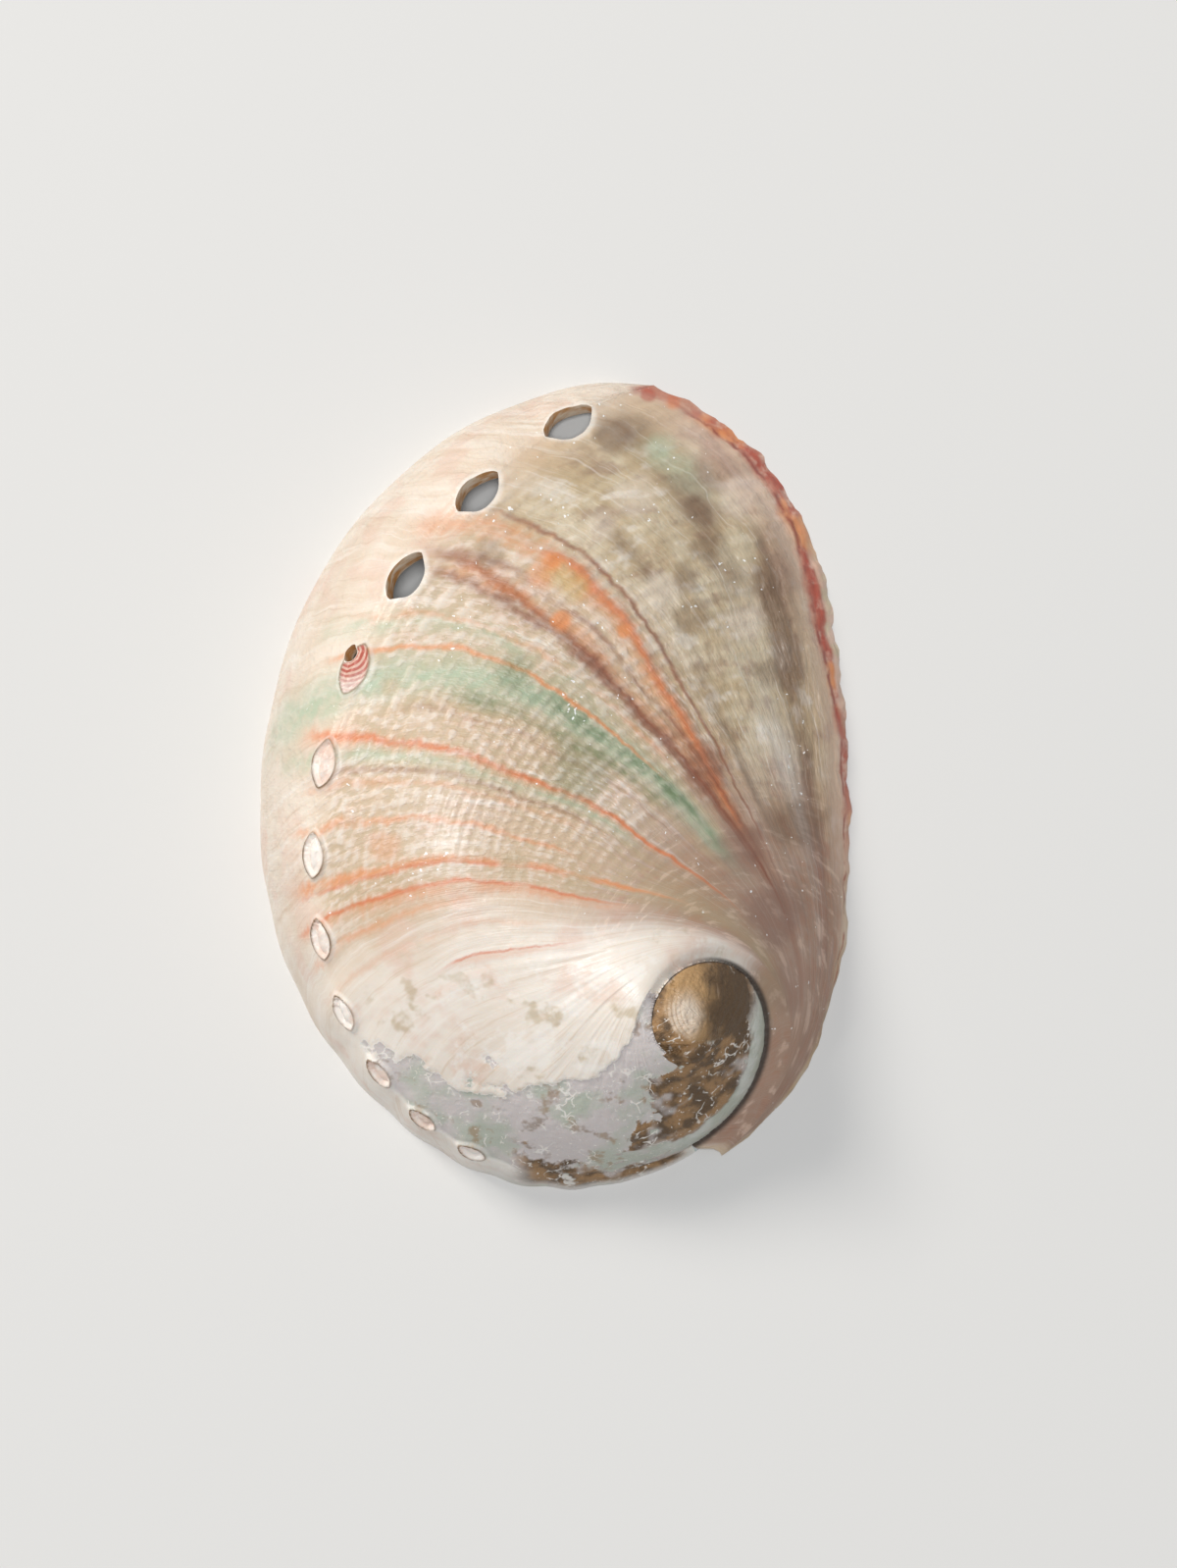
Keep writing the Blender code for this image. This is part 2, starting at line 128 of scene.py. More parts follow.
class Wire:
    """A node socket. Python's operators on it add Math nodes to its tree."""

    def __init__(self, graph: "Graph", socket: bpy.types.NodeSocket) -> None:
        """Wrap a socket of a graph's tree."""
        self.graph = graph
        self.socket = socket

    def __add__(self, other: "Value") -> "Wire":
        """Sum."""
        return self.graph.maths("ADD", self, other)

    __radd__ = __add__

    def __sub__(self, other: "Value") -> "Wire":
        """Difference."""
        return self.graph.maths("SUBTRACT", self, other)

    def __rsub__(self, other: "Value") -> "Wire":
        """Difference with the number first."""
        return self.graph.maths("SUBTRACT", other, self)

    def __mul__(self, other: "Value") -> "Wire":
        """Product."""
        return self.graph.maths("MULTIPLY", self, other)

    __rmul__ = __mul__

    def __truediv__(self, other: "Value") -> "Wire":
        """Quotient."""
        return self.graph.maths("DIVIDE", self, other)

    def __neg__(self) -> "Wire":
        """The value with its sign turned."""
        return self.graph.maths("MULTIPLY", self, -1.0)

    def __abs__(self) -> "Wire":
        """The value without its sign."""
        return self.graph.maths("ABSOLUTE", self)

    def largest(self, other: "Value") -> "Wire":
        """The larger of two values."""
        return self.graph.maths("MAXIMUM", self, other)

    def smallest(self, other: "Value") -> "Wire":
        """The smaller of two values."""
        return self.graph.maths("MINIMUM", self, other)

    def sine(self) -> "Wire":
        """Sine of the value in radians."""
        return self.graph.maths("SINE", self)

    def cosine(self) -> "Wire":
        """Cosine of the value in radians."""
        return self.graph.maths("COSINE", self)

    def exponent(self) -> "Wire":
        """e to the power of the value."""
        return self.graph.maths("EXPONENT", self)

    def rise(self, low: float, high: float) -> "Wire":
        """Eased step from 0 at low to 1 at high; the other way round where low is above high.

        Args:
            low: Value at which the step is 0.
            high: Value at which the step is 1.

        Returns:
            The step.
        """
        if low > high:
            return 1.0 - self.rise(high, low)
        return self.graph.node(
            "ShaderNodeMapRange", {"interpolation_type": "SMOOTHSTEP", "clamp": False},
            {"Value": self, "From Min": low, "From Max": high})

    def hump(self, centre: "Value", width: float) -> "Wire":
        """Eased hump, 1 at a centre and 0 at a width to either side.

        Args:
            centre: Where the hump is highest.
            width: Half its width.

        Returns:
            The hump.
        """
        return 1.0 - abs(self - centre).rise(0.0, width)


Value = Wire | float | Sequence[float]


class Graph:
    """Adds nodes to one node tree."""

    def __init__(self, tree: bpy.types.NodeTree) -> None:
        """Start on a tree that is empty or holds nodes already."""
        self.tree = tree

    def node(self, kind: str, settings: dict | None = None, inputs: dict | None = None,
             output: str | None = None) -> Wire:
        """Add a node, set it up and feed it.

        Args:
            kind: The node's type.
            settings: Its properties; "stops" holds a ramp's positions and colours.
            inputs: Values or wires for its sockets, by name or place.
            output: Name of the socket to read; the first one in use if left out.

        Returns:
            The wire from that socket.
        """
        made = self.tree.nodes.new(kind)
        for name, value in (settings or {}).items():
            if name == "stops":
                self.set_stops(made.color_ramp, value)
            else:
                setattr(made, name, value)
        for key, value in (inputs or {}).items():
            self.feed(made.inputs[key], value)
        sockets = [s for s in made.outputs if s.enabled]
        if output is not None:
            sockets = [s for s in sockets if s.name == output]
        return Wire(self, sockets[0] if sockets else None)

    @staticmethod
    def set_stops(ramp: bpy.types.ColorRamp, stops: Sequence[tuple[float, Colour]]) -> None:
        """Give a ramp its stops, each a position and a colour.

        Args:
            ramp: The ramp of a colour ramp node.
            stops: Positions and colours, lowest first.
        """
        while len(ramp.elements) < len(stops):
            ramp.elements.new(1.0)
        for element, (position, colour) in zip(ramp.elements, stops):
            element.position = position
            element.color = colour

    def feed(self, socket: bpy.types.NodeSocket, value: Value) -> None:
        """Link a wire to a socket, or set the socket's own value.

        Args:
            socket: The socket.
            value: A wire or a plain value.
        """
        if isinstance(value, Wire):
            self.tree.links.new(value.socket, socket)
        else:
            socket.default_value = value

    def maths(self, operation: str, first: Value, second: Value = 0.0) -> Wire:
        """One Math node."""
        return self.node("ShaderNodeMath", {"operation": operation}, {0: first, 1: second})

    def vectors(self, operation: str, first: Value, second: Value, output: str = "Vector") -> Wire:
        """One Vector Math node."""
        return self.node("ShaderNodeVectorMath", {"operation": operation}, {0: first, 1: second}, output)

    def scaled(self, vector: Value, scale: Value) -> Wire:
        """A vector times a number."""
        return self.node("ShaderNodeVectorMath", {"operation": "SCALE"}, {0: vector, "Scale": scale})

    def length(self, vector: Value) -> Wire:
        """Length of a vector."""
        return self.vectors("LENGTH", vector, (0.0, 0.0, 0.0), "Value")

    def vector(self, x: Value, y: Value, z: Value = 0.0) -> Wire:
        """A vector from its three parts."""
        return self.node("ShaderNodeCombineXYZ", None, {"X": x, "Y": y, "Z": z})

    def parts(self, vector: Wire) -> tuple[Wire, Wire, Wire]:
        """The three parts of a vector."""
        split = self.node("ShaderNodeSeparateXYZ", None, {"Vector": vector}).socket.node
        return tuple(Wire(self, s) for s in split.outputs)

    def noise(self, place: Wire, scale: float, detail: float = 2.0, roughness: float = 0.5,
              distortion: float = 0.0) -> Wire:
        """Smooth noise from 0 to 1, mostly near 0.5.

        Args:
            place: Where it is read.
            scale: Lumps to a unit of place.
            detail: Finer layers laid over the first.
            roughness: How strong they are.
            distortion: How far they are twisted.

        Returns:
            The noise.
        """
        return self.node("ShaderNodeTexNoise", None, {
            "Vector": place, "Scale": scale, "Detail": detail, "Roughness": roughness,
            "Distortion": distortion})

    def cells(self, place: Wire, scale: float, feature: str = "F1") -> Wire:
        """Distance to the nearest of scattered points, or to the edge between their cells."""
        return self.node("ShaderNodeTexVoronoi", {"feature": feature}, {"Vector": place, "Scale": scale},
                         "Distance")

    def bump(self, height: Wire, strength: float, distance: float) -> Wire:
        """Normal of a surface that a height roughens."""
        return self.node("ShaderNodeBump", None, {
            "Strength": strength, "Distance": distance, "Height": height})

    def mix(self, share: Value, first: Value, second: Value) -> Wire:
        """Colour that goes from the first to the second as share goes from 0 to 1."""
        return self.node("ShaderNodeMix", {"data_type": "RGBA"}, {0: share, 6: first, 7: second})


@dataclass(frozen=True)
class GrowthCurve:
    """A line across the dome that stays near one former lip.

    It is given by its growth near the row of holes, in the middle of the dome and near the spire.
    """

    near_holes: float
    middle: float
    near_spire: float

    def centre(self, share: Wire) -> Wire:
        """Growth of the line where it crosses each share of the section.

        Args:
            share: Share of the section.

        Returns:
            The growth in degrees.
        """
        stops = (0.95, 0.6, 0.2)
        c, b, a = np.polyfit(stops, (self.near_holes, self.middle, self.near_spire), 2)
        return share * (share * float(c) + float(b)) + float(a)


@dataclass(frozen=True)
class ColourBand(GrowthCurve):
    """A line or soft band of colour that was laid down along a former lip."""

    width: float
    strength: float
    colour: Colour
    begin: float
    end: float
    blotch: float = 0.7


class HoleState(Enum):
    """How far a breathing hole has been closed from inside."""

    OPEN = 0.0
    CLOSING = 0.5
    SEALED = 1.0


@dataclass(frozen=True)
class BreathingHole:
    """One hole of the row, or what is left of it."""

    number: int
    state: HoleState
    length: float
    width: float


WORN_EDGE = GrowthCurve(119.0, 141.0, 178.0)


def worn_share(graph: Graph, grown: Wire, share: Wire, place: Wire) -> Wire:
    """Where the outer layer has worn through to the grey one under it, 0 or 1 with a jagged edge.

    Args:
        graph: The tree to add to.
        grown: Growth in degrees.
        share: Share of the section.
        place: Position on the shell.

    Returns:
        The mask.
    """
    ragged = (graph.noise(place, 150.0, 4.0, 0.62) - 0.5) * 46.0
    past = grown - WORN_EDGE.centre(share) + ragged
    reach = share.rise(1.03, 0.985).largest(grown.rise(140.0, 156.0) * 0.8)
    return past.rise(-0.9, 0.9) * reach


def patch_share(graph: Graph, grown: Wire, share: Wire, place: Wire) -> Wire:
    """Where the early whorls keep rough brown patches, 0 or 1 with a jagged edge.

    Args:
        graph: The tree to add to.
        grown: Growth in degrees.
        share: Share of the section.
        place: Position on the shell.

    Returns:
        The mask.
    """
    ragged = (graph.noise(place, 260.0, 4.0, 0.6) - 0.5) * 60.0
    begun = (grown + ragged - 233.0 + 65.0 * share - 50.0 * share.rise(0.17, 0.04)).rise(-1.5, 1.5)
    rim = (share + (graph.noise(place, 300.0, 3.0) - 0.5) * 0.24).rise(0.71, 0.66)
    rim = rim.largest(grown.rise(286.0, 312.0))
    lower = grown.rise(150.0, 158.0) * (share + ragged * 0.010).rise(0.86, 0.92) * share.rise(1.30, 1.10)
    lower = lower * grown.rise(206.0, 196.0)
    holes = graph.noise(place, 240.0, 3.0, 0.6).rise(0.64, 0.60)
    return (begun * rim).largest(lower) * holes


class SpiralTree:
    """Node tree that puts points on the widening spiral from their angle, radius and height."""

    def __init__(self, sizes: dict[str, float | Sequence[float]]) -> None:
        """Build the tree.

        Args:
            sizes: Values of the named inputs.
        """
        self.sizes = sizes
        self.tree = bpy.data.node_groups.new("spiral_growth", "GeometryNodeTree")
        self.add_sockets()
        self.wire_up()

    def add_sockets(self) -> None:
        face = self.tree.interface
        face.new_socket("Geometry", in_out="INPUT", socket_type="NodeSocketGeometry")
        for name, value in self.sizes.items():
            kind = "NodeSocketFloat" if isinstance(value, float) else "NodeSocketVector"
            face.new_socket(name, in_out="INPUT", socket_type=kind)
        face.new_socket("Geometry", in_out="OUTPUT", socket_type="NodeSocketGeometry")

    def wire_up(self) -> None:
        """Position = apex + growth times the section's point, turned about the axis."""
        graph = Graph(self.tree)
        start = self.tree.nodes.new("NodeGroupInput")
        size = {s.name: Wire(graph, s) for s in start.outputs}
        angle, radius, height = (read_attribute(graph, n) for n in ("angle", "radius", "height"))
        scale = (angle * size["Growth Rate"]).exponent()
        reach = scale * radius
        point = size["Apex"]
        for part, way in ((reach * angle.cosine(), "Zero Bearing"),
                          (-(reach * angle.sine()), "Quarter Bearing"), (scale * height, "Axis")):
            point = graph.vectors("ADD", point, graph.scaled(size[way], part))
        step = graph.node("ShaderNodeMapRange", {"interpolation_type": "SMOOTHSTEP"}, {
            "Value": reach, "From Min": size["Shift Start"], "From Max": size["Shift End"]})
        point = graph.vectors("ADD", point, graph.scaled(size["Spire Shift"], 1.0 - step))
        placed = graph.node("GeometryNodeSetPosition", None, {
            "Geometry": size["Geometry"], "Position": point})
        end = self.tree.nodes.new("NodeGroupOutput")
        self.tree.links.new(placed.socket, end.inputs[0])

    def place(self, angle: np.ndarray, radius: np.ndarray, height: np.ndarray) -> np.ndarray:
        """Run the tree on a cloud of points.

        Args:
            angle: Growth angles in radians.
            radius: Distances of the section's points from the axis.
            height: Their heights along the axis.

        Returns:
            Positions, one for each angle.
        """
        angle, radius, height = np.broadcast_arrays(angle, radius, height)
        mesh = bpy.data.meshes.new("spiral_points")
        mesh.vertices.add(angle.size)
        for name, values in (("angle", angle), ("radius", radius), ("height", height)):
            write_attribute(mesh, name, values.ravel())
        cloud = add_object("spiral_points", mesh)
        add_tree(cloud, self.tree, self.sizes)
        baked = bake(cloud)
        points = np.empty(angle.size * 3)
        baked.vertices.foreach_get("co", points)
        bpy.data.objects.remove(cloud)
        bpy.data.meshes.remove(baked)
        return points.reshape(*angle.shape, 3)


def read_attribute(graph: Graph, name: str) -> Wire:
    """A number kept at each point, read in a geometry tree."""
    return graph.node("GeometryNodeInputNamedAttribute", {"data_type": "FLOAT"}, {"Name": name}, "Attribute")


def write_attribute(mesh: bpy.types.Mesh, name: str, values: np.ndarray) -> None:
    """Keep a number at each point of a mesh."""
    mesh.attributes.new(name, "FLOAT", "POINT").data.foreach_set("value", values.astype(np.float32))


def add_tree(item: bpy.types.Object, tree: bpy.types.NodeTree, sizes: dict) -> None:
    """Put a node tree on an object and set its inputs by their identifiers.

    Args:
        item: The object.
        tree: The tree.
        sizes: Values by input name.
    """
    modifier = item.modifiers.new(tree.name, "NODES")
    modifier.node_group = tree
    for socket in tree.interface.items_tree:
        if socket.in_out == "INPUT" and socket.name in sizes:
            modifier[socket.identifier] = sizes[socket.name]


def bake(item: bpy.types.Object) -> bpy.types.Mesh:
    """The plain mesh that an object's modifiers make; the modifiers are then removed.

    Args:
        item: The object.

    Returns:
        The mesh.
    """
    state = bpy.context.evaluated_depsgraph_get()
    state.update()
    mesh = bpy.data.meshes.new_from_object(
        item.evaluated_get(state), preserve_all_data_layers=True, depsgraph=state)
    item.modifiers.clear()
    return mesh


def smooth_curve(points: Sequence[Sequence[float]], fractions: np.ndarray) -> np.ndarray:
    """Read a centripetal Catmull-Rom curve at fractions of its length.

    Args:
        points: The points that the curve goes through.
        fractions: Places along it, 0 to 1.

    Returns:
        The points at those places.
    """
    ends = np.asarray(points, dtype=float)
    p = np.vstack((2.0 * ends[0] - ends[1], ends, 2.0 * ends[-1] - ends[-2]))
    knot = np.concatenate(((0.0,), np.cumsum(np.linalg.norm(np.diff(p, axis=0), axis=1) ** 0.5)))

    def between(a: np.ndarray, b: np.ndarray, low: float, high: float, t: np.ndarray) -> np.ndarray:
        """Point on the line from a at low to b at high."""
        return (a * (high - t) + b * (t - low)) / (high - low)

    steps = 40
    dense = []
    for i in range(1, len(p) - 2):
        t = np.linspace(knot[i], knot[i + 1], steps)[:, None]
        a1 = between(p[i - 1], p[i], knot[i - 1], knot[i], t)
        a2 = between(p[i], p[i + 1], knot[i], knot[i + 1], t)
        a3 = between(p[i + 1], p[i + 2], knot[i + 1], knot[i + 2], t)
        b1 = between(a1, a2, knot[i - 1], knot[i + 1], t)
        b2 = between(a2, a3, knot[i], knot[i + 2], t)
        dense.append(between(b1, b2, knot[i], knot[i + 1], t))
    line = np.vstack(dense)
    along = np.concatenate(((0.0,), np.cumsum(np.linalg.norm(np.diff(line, axis=0), axis=1))))
    wanted = np.asarray(fractions) * along[-1]
    return np.stack([np.interp(wanted, along, line[:, k]) for k in range(p.shape[1])], axis=-1)


@dataclass
class SpiralRule:
    """The rule that the shell grows by, and the section that it carries round."""

    apex: tuple[float, float, float] = (0.01820, -0.02875, 0.0210)
    tilt: float = math.radians(29.9)
    bearing: float = math.radians(-33.6)
    rate: float = 0.3442
    row_radius: float = 0.0660
    row_height: float = -0.03985
    spire_shift: tuple[float, float, float] = (-0.0007, -0.0026, 0.0)
    spire_reach: tuple[float, float] = (0.014, 0.027)
    section: tuple[tuple[float, float], ...] = (
        (0.0097, -0.00475), (0.0131, -0.00650), (0.0212, -0.01144), (0.0342, -0.01748),
        (0.0474, -0.02386), (0.0570, -0.03060), (0.0632, -0.03640))

    def __post_init__(self) -> None:
        """Work out the spiral's axis and bearings, and build its node tree."""
        self.axis = np.array((math.sin(self.tilt) * math.cos(self.bearing),
                              math.sin(self.tilt) * math.sin(self.bearing), math.cos(self.tilt)))
        self.zero = unit(np.cross(self.axis, (1.0, 0.0, 0.0)))
        self.quarter = np.cross(self.axis, self.zero)
        self.tree = SpiralTree({
            "Growth Rate": self.rate, "Apex": self.apex, "Axis": tuple(self.axis),
            "Zero Bearing": tuple(self.zero), "Quarter Bearing": tuple(self.quarter),
            "Spire Shift": self.spire_shift, "Shift Start": self.spire_reach[0],
            "Shift End": self.spire_reach[1]})

    def lines(self, shares: np.ndarray) -> np.ndarray:
        """Radius and height of the section, seam to row of holes, at shares of its length.

        Args:
            shares: Shares of the section's length, 0 to 1.

        Returns:
            A row for each share.
        """
        shrink = math.exp(-TURN * self.rate)
        seam = (self.row_radius * shrink, self.row_height * shrink)
        return smooth_curve((seam, *self.section, (self.row_radius, self.row_height)), shares)

    def lip_angles(self, section: np.ndarray) -> np.ndarray:
        """Growth angle at which each line of the section reaches the table, or comes closest.

        Args:
            section: Radius and height of each line.

        Returns:
            Angles in radians.
        """
        angles = np.radians(np.arange(-5.0, 200.0, 0.1))
        scale = np.exp(self.rate * angles)
        result = []
        for radius, height in section:
            turned = radius * (np.cos(angles) * self.zero[2] - np.sin(angles) * self.quarter[2])
            z = self.apex[2] + scale * (turned + height * self.axis[2])
            below = np.nonzero(z <= 0.0)[0]
            if len(below):
                i = below[0]
                share = z[i - 1] / (z[i - 1] - z[i])
                result.append(angles[i - 1] + share * (angles[i] - angles[i - 1]))
            else:
                result.append(angles[np.argmin(z)])
        return np.array(result)


@dataclass
class Dome:
    """The outside of the dome: rows are growth lines back from the lip, columns run seam to row."""

    rule: SpiralRule
    rows_to_seam: int = 240
    rows_to_tip: int = 590
    columns: int = 150
    seam_crowding: float = 1.2
    lip_crowding: float = 1.5
    wave_depth: float = 0.00035
    wave_step: float = 13.0
    wave_fade: float = 30.0
    lump_height: float = 0.0003
    lump_turns: float = 9.0
    lump_fade: float = 4.0
    lip_spread: float = 0.0012
    lip_spread_fade: float = 7.0
    lip_rise: float = 5.0
    lip_trim: float = math.radians(7.0)
    keel_height: float = 0.0003
    knob_height: float = 0.0004
    hole_step: float = math.radians(13.02)

    def __post_init__(self) -> None:
        """Place the grid and raise its broad relief."""
        self.shares = np.linspace(0.0, 1.0, self.columns + 1) ** self.seam_crowding
        section = self.rule.lines(self.shares)
        lips = self.rule.lip_angles(section)
        seam_shift = TURN - (lips[0] - lips[-1])
        lips = np.minimum(lips, lips[0] - self.lip_trim * smoothstep(0.0, 0.02, self.shares))
        whorl, place = np.divmod(np.arange(self.rows_to_tip + 1), self.rows_to_seam)
        turned = (place / self.rows_to_seam) ** self.lip_crowding
        self.grown = seam_shift * (whorl + turned)
        self.rings = 32.0 * (whorl + turned ** (1.0 / 1.15))
        self.angles = lips[None, :] - self.grown[:, None]
        self.points = self.rule.tree.place(self.angles, section[None, :, 0], section[None, :, 1])
        self.points[0, :, 2] = np.where(self.points[0, :, 2] < 2e-5, 0.0, self.points[0, :, 2])
        self.raise_relief()
        self.normals = self.outward()

    def outward(self) -> np.ndarray:
        """Outward normals at the grid's points."""
        return unit(np.cross(np.gradient(self.points, axis=1), np.gradient(self.points, axis=0)))

    def raise_relief(self) -> None:
        """Growth waves, a lumpy spread lip and the swollen row of holes, none lifting the rim."""
        share = self.shares[None, :]
        grown = np.degrees(self.grown)[:, None]
        waves = -self.wave_depth * np.cos(TURN * grown / self.wave_step) * np.exp(-grown / self.wave_fade)
        waves = waves * smoothstep(0.05, 0.4, share)
        lumps = np.sin(self.lump_turns * TURN * share) + np.sin(1.63 * self.lump_turns * TURN * share + 2.0)
        lumps = 0.6 * self.lump_height * lumps * np.exp(-grown / self.lump_fade)
        spread = self.lip_spread * smoothstep(0.10, 0.28, share) * (1.0 - smoothstep(0.80, 0.94, share))
        spread = spread * np.exp(-grown / self.lip_spread_fade)
        beat = 0.5 + 0.5 * np.cos(TURN * self.angles[:, -1:] / self.hole_step)
        swollen = (self.keel_height + self.knob_height * beat) * smoothstep(0.86, 1.0, share)
        swollen = swollen * smoothstep(0.0, 6.0, grown) * (1.0 - smoothstep(160.0, 190.0, grown))
        lift = (waves + lumps + spread + swollen)[..., None] * self.outward()
        lift[..., 2] *= np.clip(grown / self.lip_rise, 0.0, 1.0)
        self.points = self.points + lift
        self.points[:-self.rows_to_seam, 0] = self.points[self.rows_to_seam:, -1]


def wall_profile(share: float, bulge: float | np.ndarray) -> tuple:
    """Shares of the wall's flare and drop at a share of the way down, straight to rounded."""
    turn = 0.5 * math.pi * share
    return share + bulge * (math.sin(turn) - share), share + bulge * (1.0 - math.cos(turn) - share)


@dataclass
class SideWall:
    """The wall outside the row of holes and the ledge behind its foot, one section a growth line."""

    dome: Dome
    rows: int = 430
    columns: int = 26
    flares: tuple[tuple[float, float], ...] = (
        (-560.0, 0.0), (-300.0, -0.0002), (-245.0, -0.0005), (-218.0, -0.0002), (-198.0, 0.0007),
        (-180.0, 0.0012), (-165.0, 0.0015), (-140.0, 0.0020), (-115.0, 0.0024), (-100.0, 0.0033),
        (-75.0, 0.0058), (-50.0, 0.0082), (-30.0, 0.0095), (-13.0, 0.0081), (0.0, 0.0046), (10.6, 0.0))
    wall_drop: float = 0.028
    drop_blend: float = 0.0006
    bulge: float = 0.6
    full_thickness: float = 0.0020
    lip_thickness: float = 0.0013
    lip_taper: float = math.radians(8.0)
    thin_spire: float = 0.020
    rim_flat: float = 0.0014
    ledge_width: float = 0.0062
    ledge_rise: float = 0.0014
    ledge_edge: float = 0.0010

    def __post_init__(self) -> None:
        """Work out each section's directions, flare, drop and thickness."""
        dome = self.dome
        rule = dome.rule
        self.seam = dome.rows_to_seam
        self.top = dome.points[:self.rows + 1, -1]
        self.rings = dome.rings[:self.rows + 1]
        curled = smoothstep(32.0, 42.0, self.rings)[:, None]
        self.up = unit(curled * rule.axis + (1.0 - curled) * (0.0, 0.0, 1.0))
        self.out = unit(np.cross(np.gradient(dome.points[:, -1], axis=0)[:self.rows + 1], self.up))
        angles = dome.angles[:, -1]
        self.thicknesses = self.thickness_at(dome.grown, angles)
        self.thickness = self.thicknesses[:self.rows + 1]
        angles = angles[:self.rows + 1]
        self.scale = np.exp(rule.rate * angles)
        bearings, flares = np.transpose(smooth_curve(self.flares, np.linspace(0.0, 1.0, 400)))
        self.flare = np.interp(np.degrees(angles), bearings, flares)
        height = self.top[:, 2]
        reach = self.wall_drop * self.scale
        free = -0.5 * (height + reach) + np.sqrt(0.25 * (height - reach) ** 2 + self.drop_blend ** 2)
        self.drop = np.where(np.arange(self.rows + 1) <= self.seam, height, np.minimum(height, -free))

    def thickness_at(self, grown: np.ndarray, row_angles: np.ndarray) -> np.ndarray:
        """Wall thickness at growth lines: thin at the lip, and again in the early whorls.

        Args:
            grown: Growth in degrees.
            row_angles: The same lines' growth angles in radians.

        Returns:
            The thickness at each line.
        """
        taper = 1.0 - np.exp(-grown / self.lip_taper)
        full = self.lip_thickness + (self.full_thickness - self.lip_thickness) * taper
        size = self.dome.rule.row_radius * np.exp(self.dome.rule.rate * row_angles)
        return full * np.minimum(1.0, size / self.thin_spire)

    def place(self, out: np.ndarray, up: np.ndarray) -> np.ndarray:
        """Points at distances out from the row of holes and up from the wall's foot."""
        return self.top + self.out * out[:, None] + self.up * (up - self.drop)[:, None]

    def behind_wall(self, share: float) -> np.ndarray:
        """Points of the inner wall at a share of the way down the outer one.

        Args:
            share: Share of the way down, 0 to 1.

        Returns:
            A point for each growth line.
        """
        sideways, down = wall_profile(share, self.bulge)
        near_sideways, near_down = wall_profile(share + 0.01, self.bulge)
        run = (near_sideways - sideways) * self.flare
        fall = (near_down - down) * self.drop
        length = np.maximum(np.hypot(run, fall), 1e-9)
        out = sideways * self.flare - self.thickness * fall / length
        up = (1.0 - down) * self.drop - self.thickness * run / length
        return self.place(out, np.maximum(up, 0.0))

    def outside(self, inner_seam: np.ndarray) -> tuple[np.ndarray, np.ndarray]:
        """Outer columns from the row of holes, or the seam above it, down to the foot.

        Args:
            inner_seam: Points of the inner dome along its seam.

        Returns:
            The free wall, and the wall that the next whorl covers.
        """
        seam = self.seam
        start = self.top.copy()
        start[seam:] = inner_seam[:len(self.top) - seam]
        under = smoothstep(27.0, 32.0, self.rings)
        start[:seam, 2] -= (under * self.thickness[0])[:seam]
        foot = self.place(self.flare, 0.0 * self.rings)
        columns = [start]
        for k in range(1, self.columns + 1):
            sideways, down = wall_profile(k / self.columns, self.bulge * (1.0 - under))
            columns.append(start + np.stack((sideways, sideways, down), axis=1) * (foot - start))
        grid = np.stack(columns, axis=1)
        free = grid[:seam + 1].copy()
        free[:, 0] = self.top[:seam + 1]
        return free, grid[seam:]

    def inside(self, inner_row: np.ndarray) -> np.ndarray:
        """Columns from the foot over the ledge and up the inner wall to the inner row.

        Args:
            inner_row: Points of the inner dome along the row of holes.

        Returns:
            The grid of points, one row for each growth line.
        """
        low_wall = np.clip(self.drop / 0.006, 0.45, 1.0)
        size = low_wall * np.minimum(1.0, 2.4 * self.scale)
        width = self.ledge_width * np.minimum(1.0, 1.6 * self.scale) * smoothstep(-3.0, 7.0, self.rings)
        edge_up = (self.ledge_rise + self.ledge_edge) * size
        foot = self.place(self.flare, 0.0 * self.rings)
        rim = self.place(self.flare - self.rim_flat * size, 0.0 * self.rings)
        under = self.place(self.flare - width, self.ledge_rise * size)
        edge = self.place(self.flare - 0.88 * width, edge_up)
        root = self.place(self.flare - self.thickness - 0.25 * width, edge_up + 0.12 * self.drop)
        full_wall = (root, self.behind_wall(0.62), self.behind_wall(0.30))
        tall = smoothstep(0.0025, 0.0090, self.drop)[:, None]
        wall = []
        for share, full in zip((0.75, 0.45, 0.20), full_wall):
            plain = inner_row + share * (edge - inner_row)
            wall.append(plain + tall * (full - plain))
        columns = np.stack([foot, rim, under, edge] + wall + [inner_row], axis=1)
        begun = np.clip(self.rings / 2.2, 0.0, 1.0)[:, None, None]
        columns[:, 1:] = inner_row[:, None] + begun * (columns[:, 1:] - inner_row[:, None])
        return columns


@dataclass
class Sheet:
    """A grid of points with its growth and share at each, on the outside or the inside."""

    points: np.ndarray
    grown: np.ndarray
    share: np.ndarray
    inside: bool = False


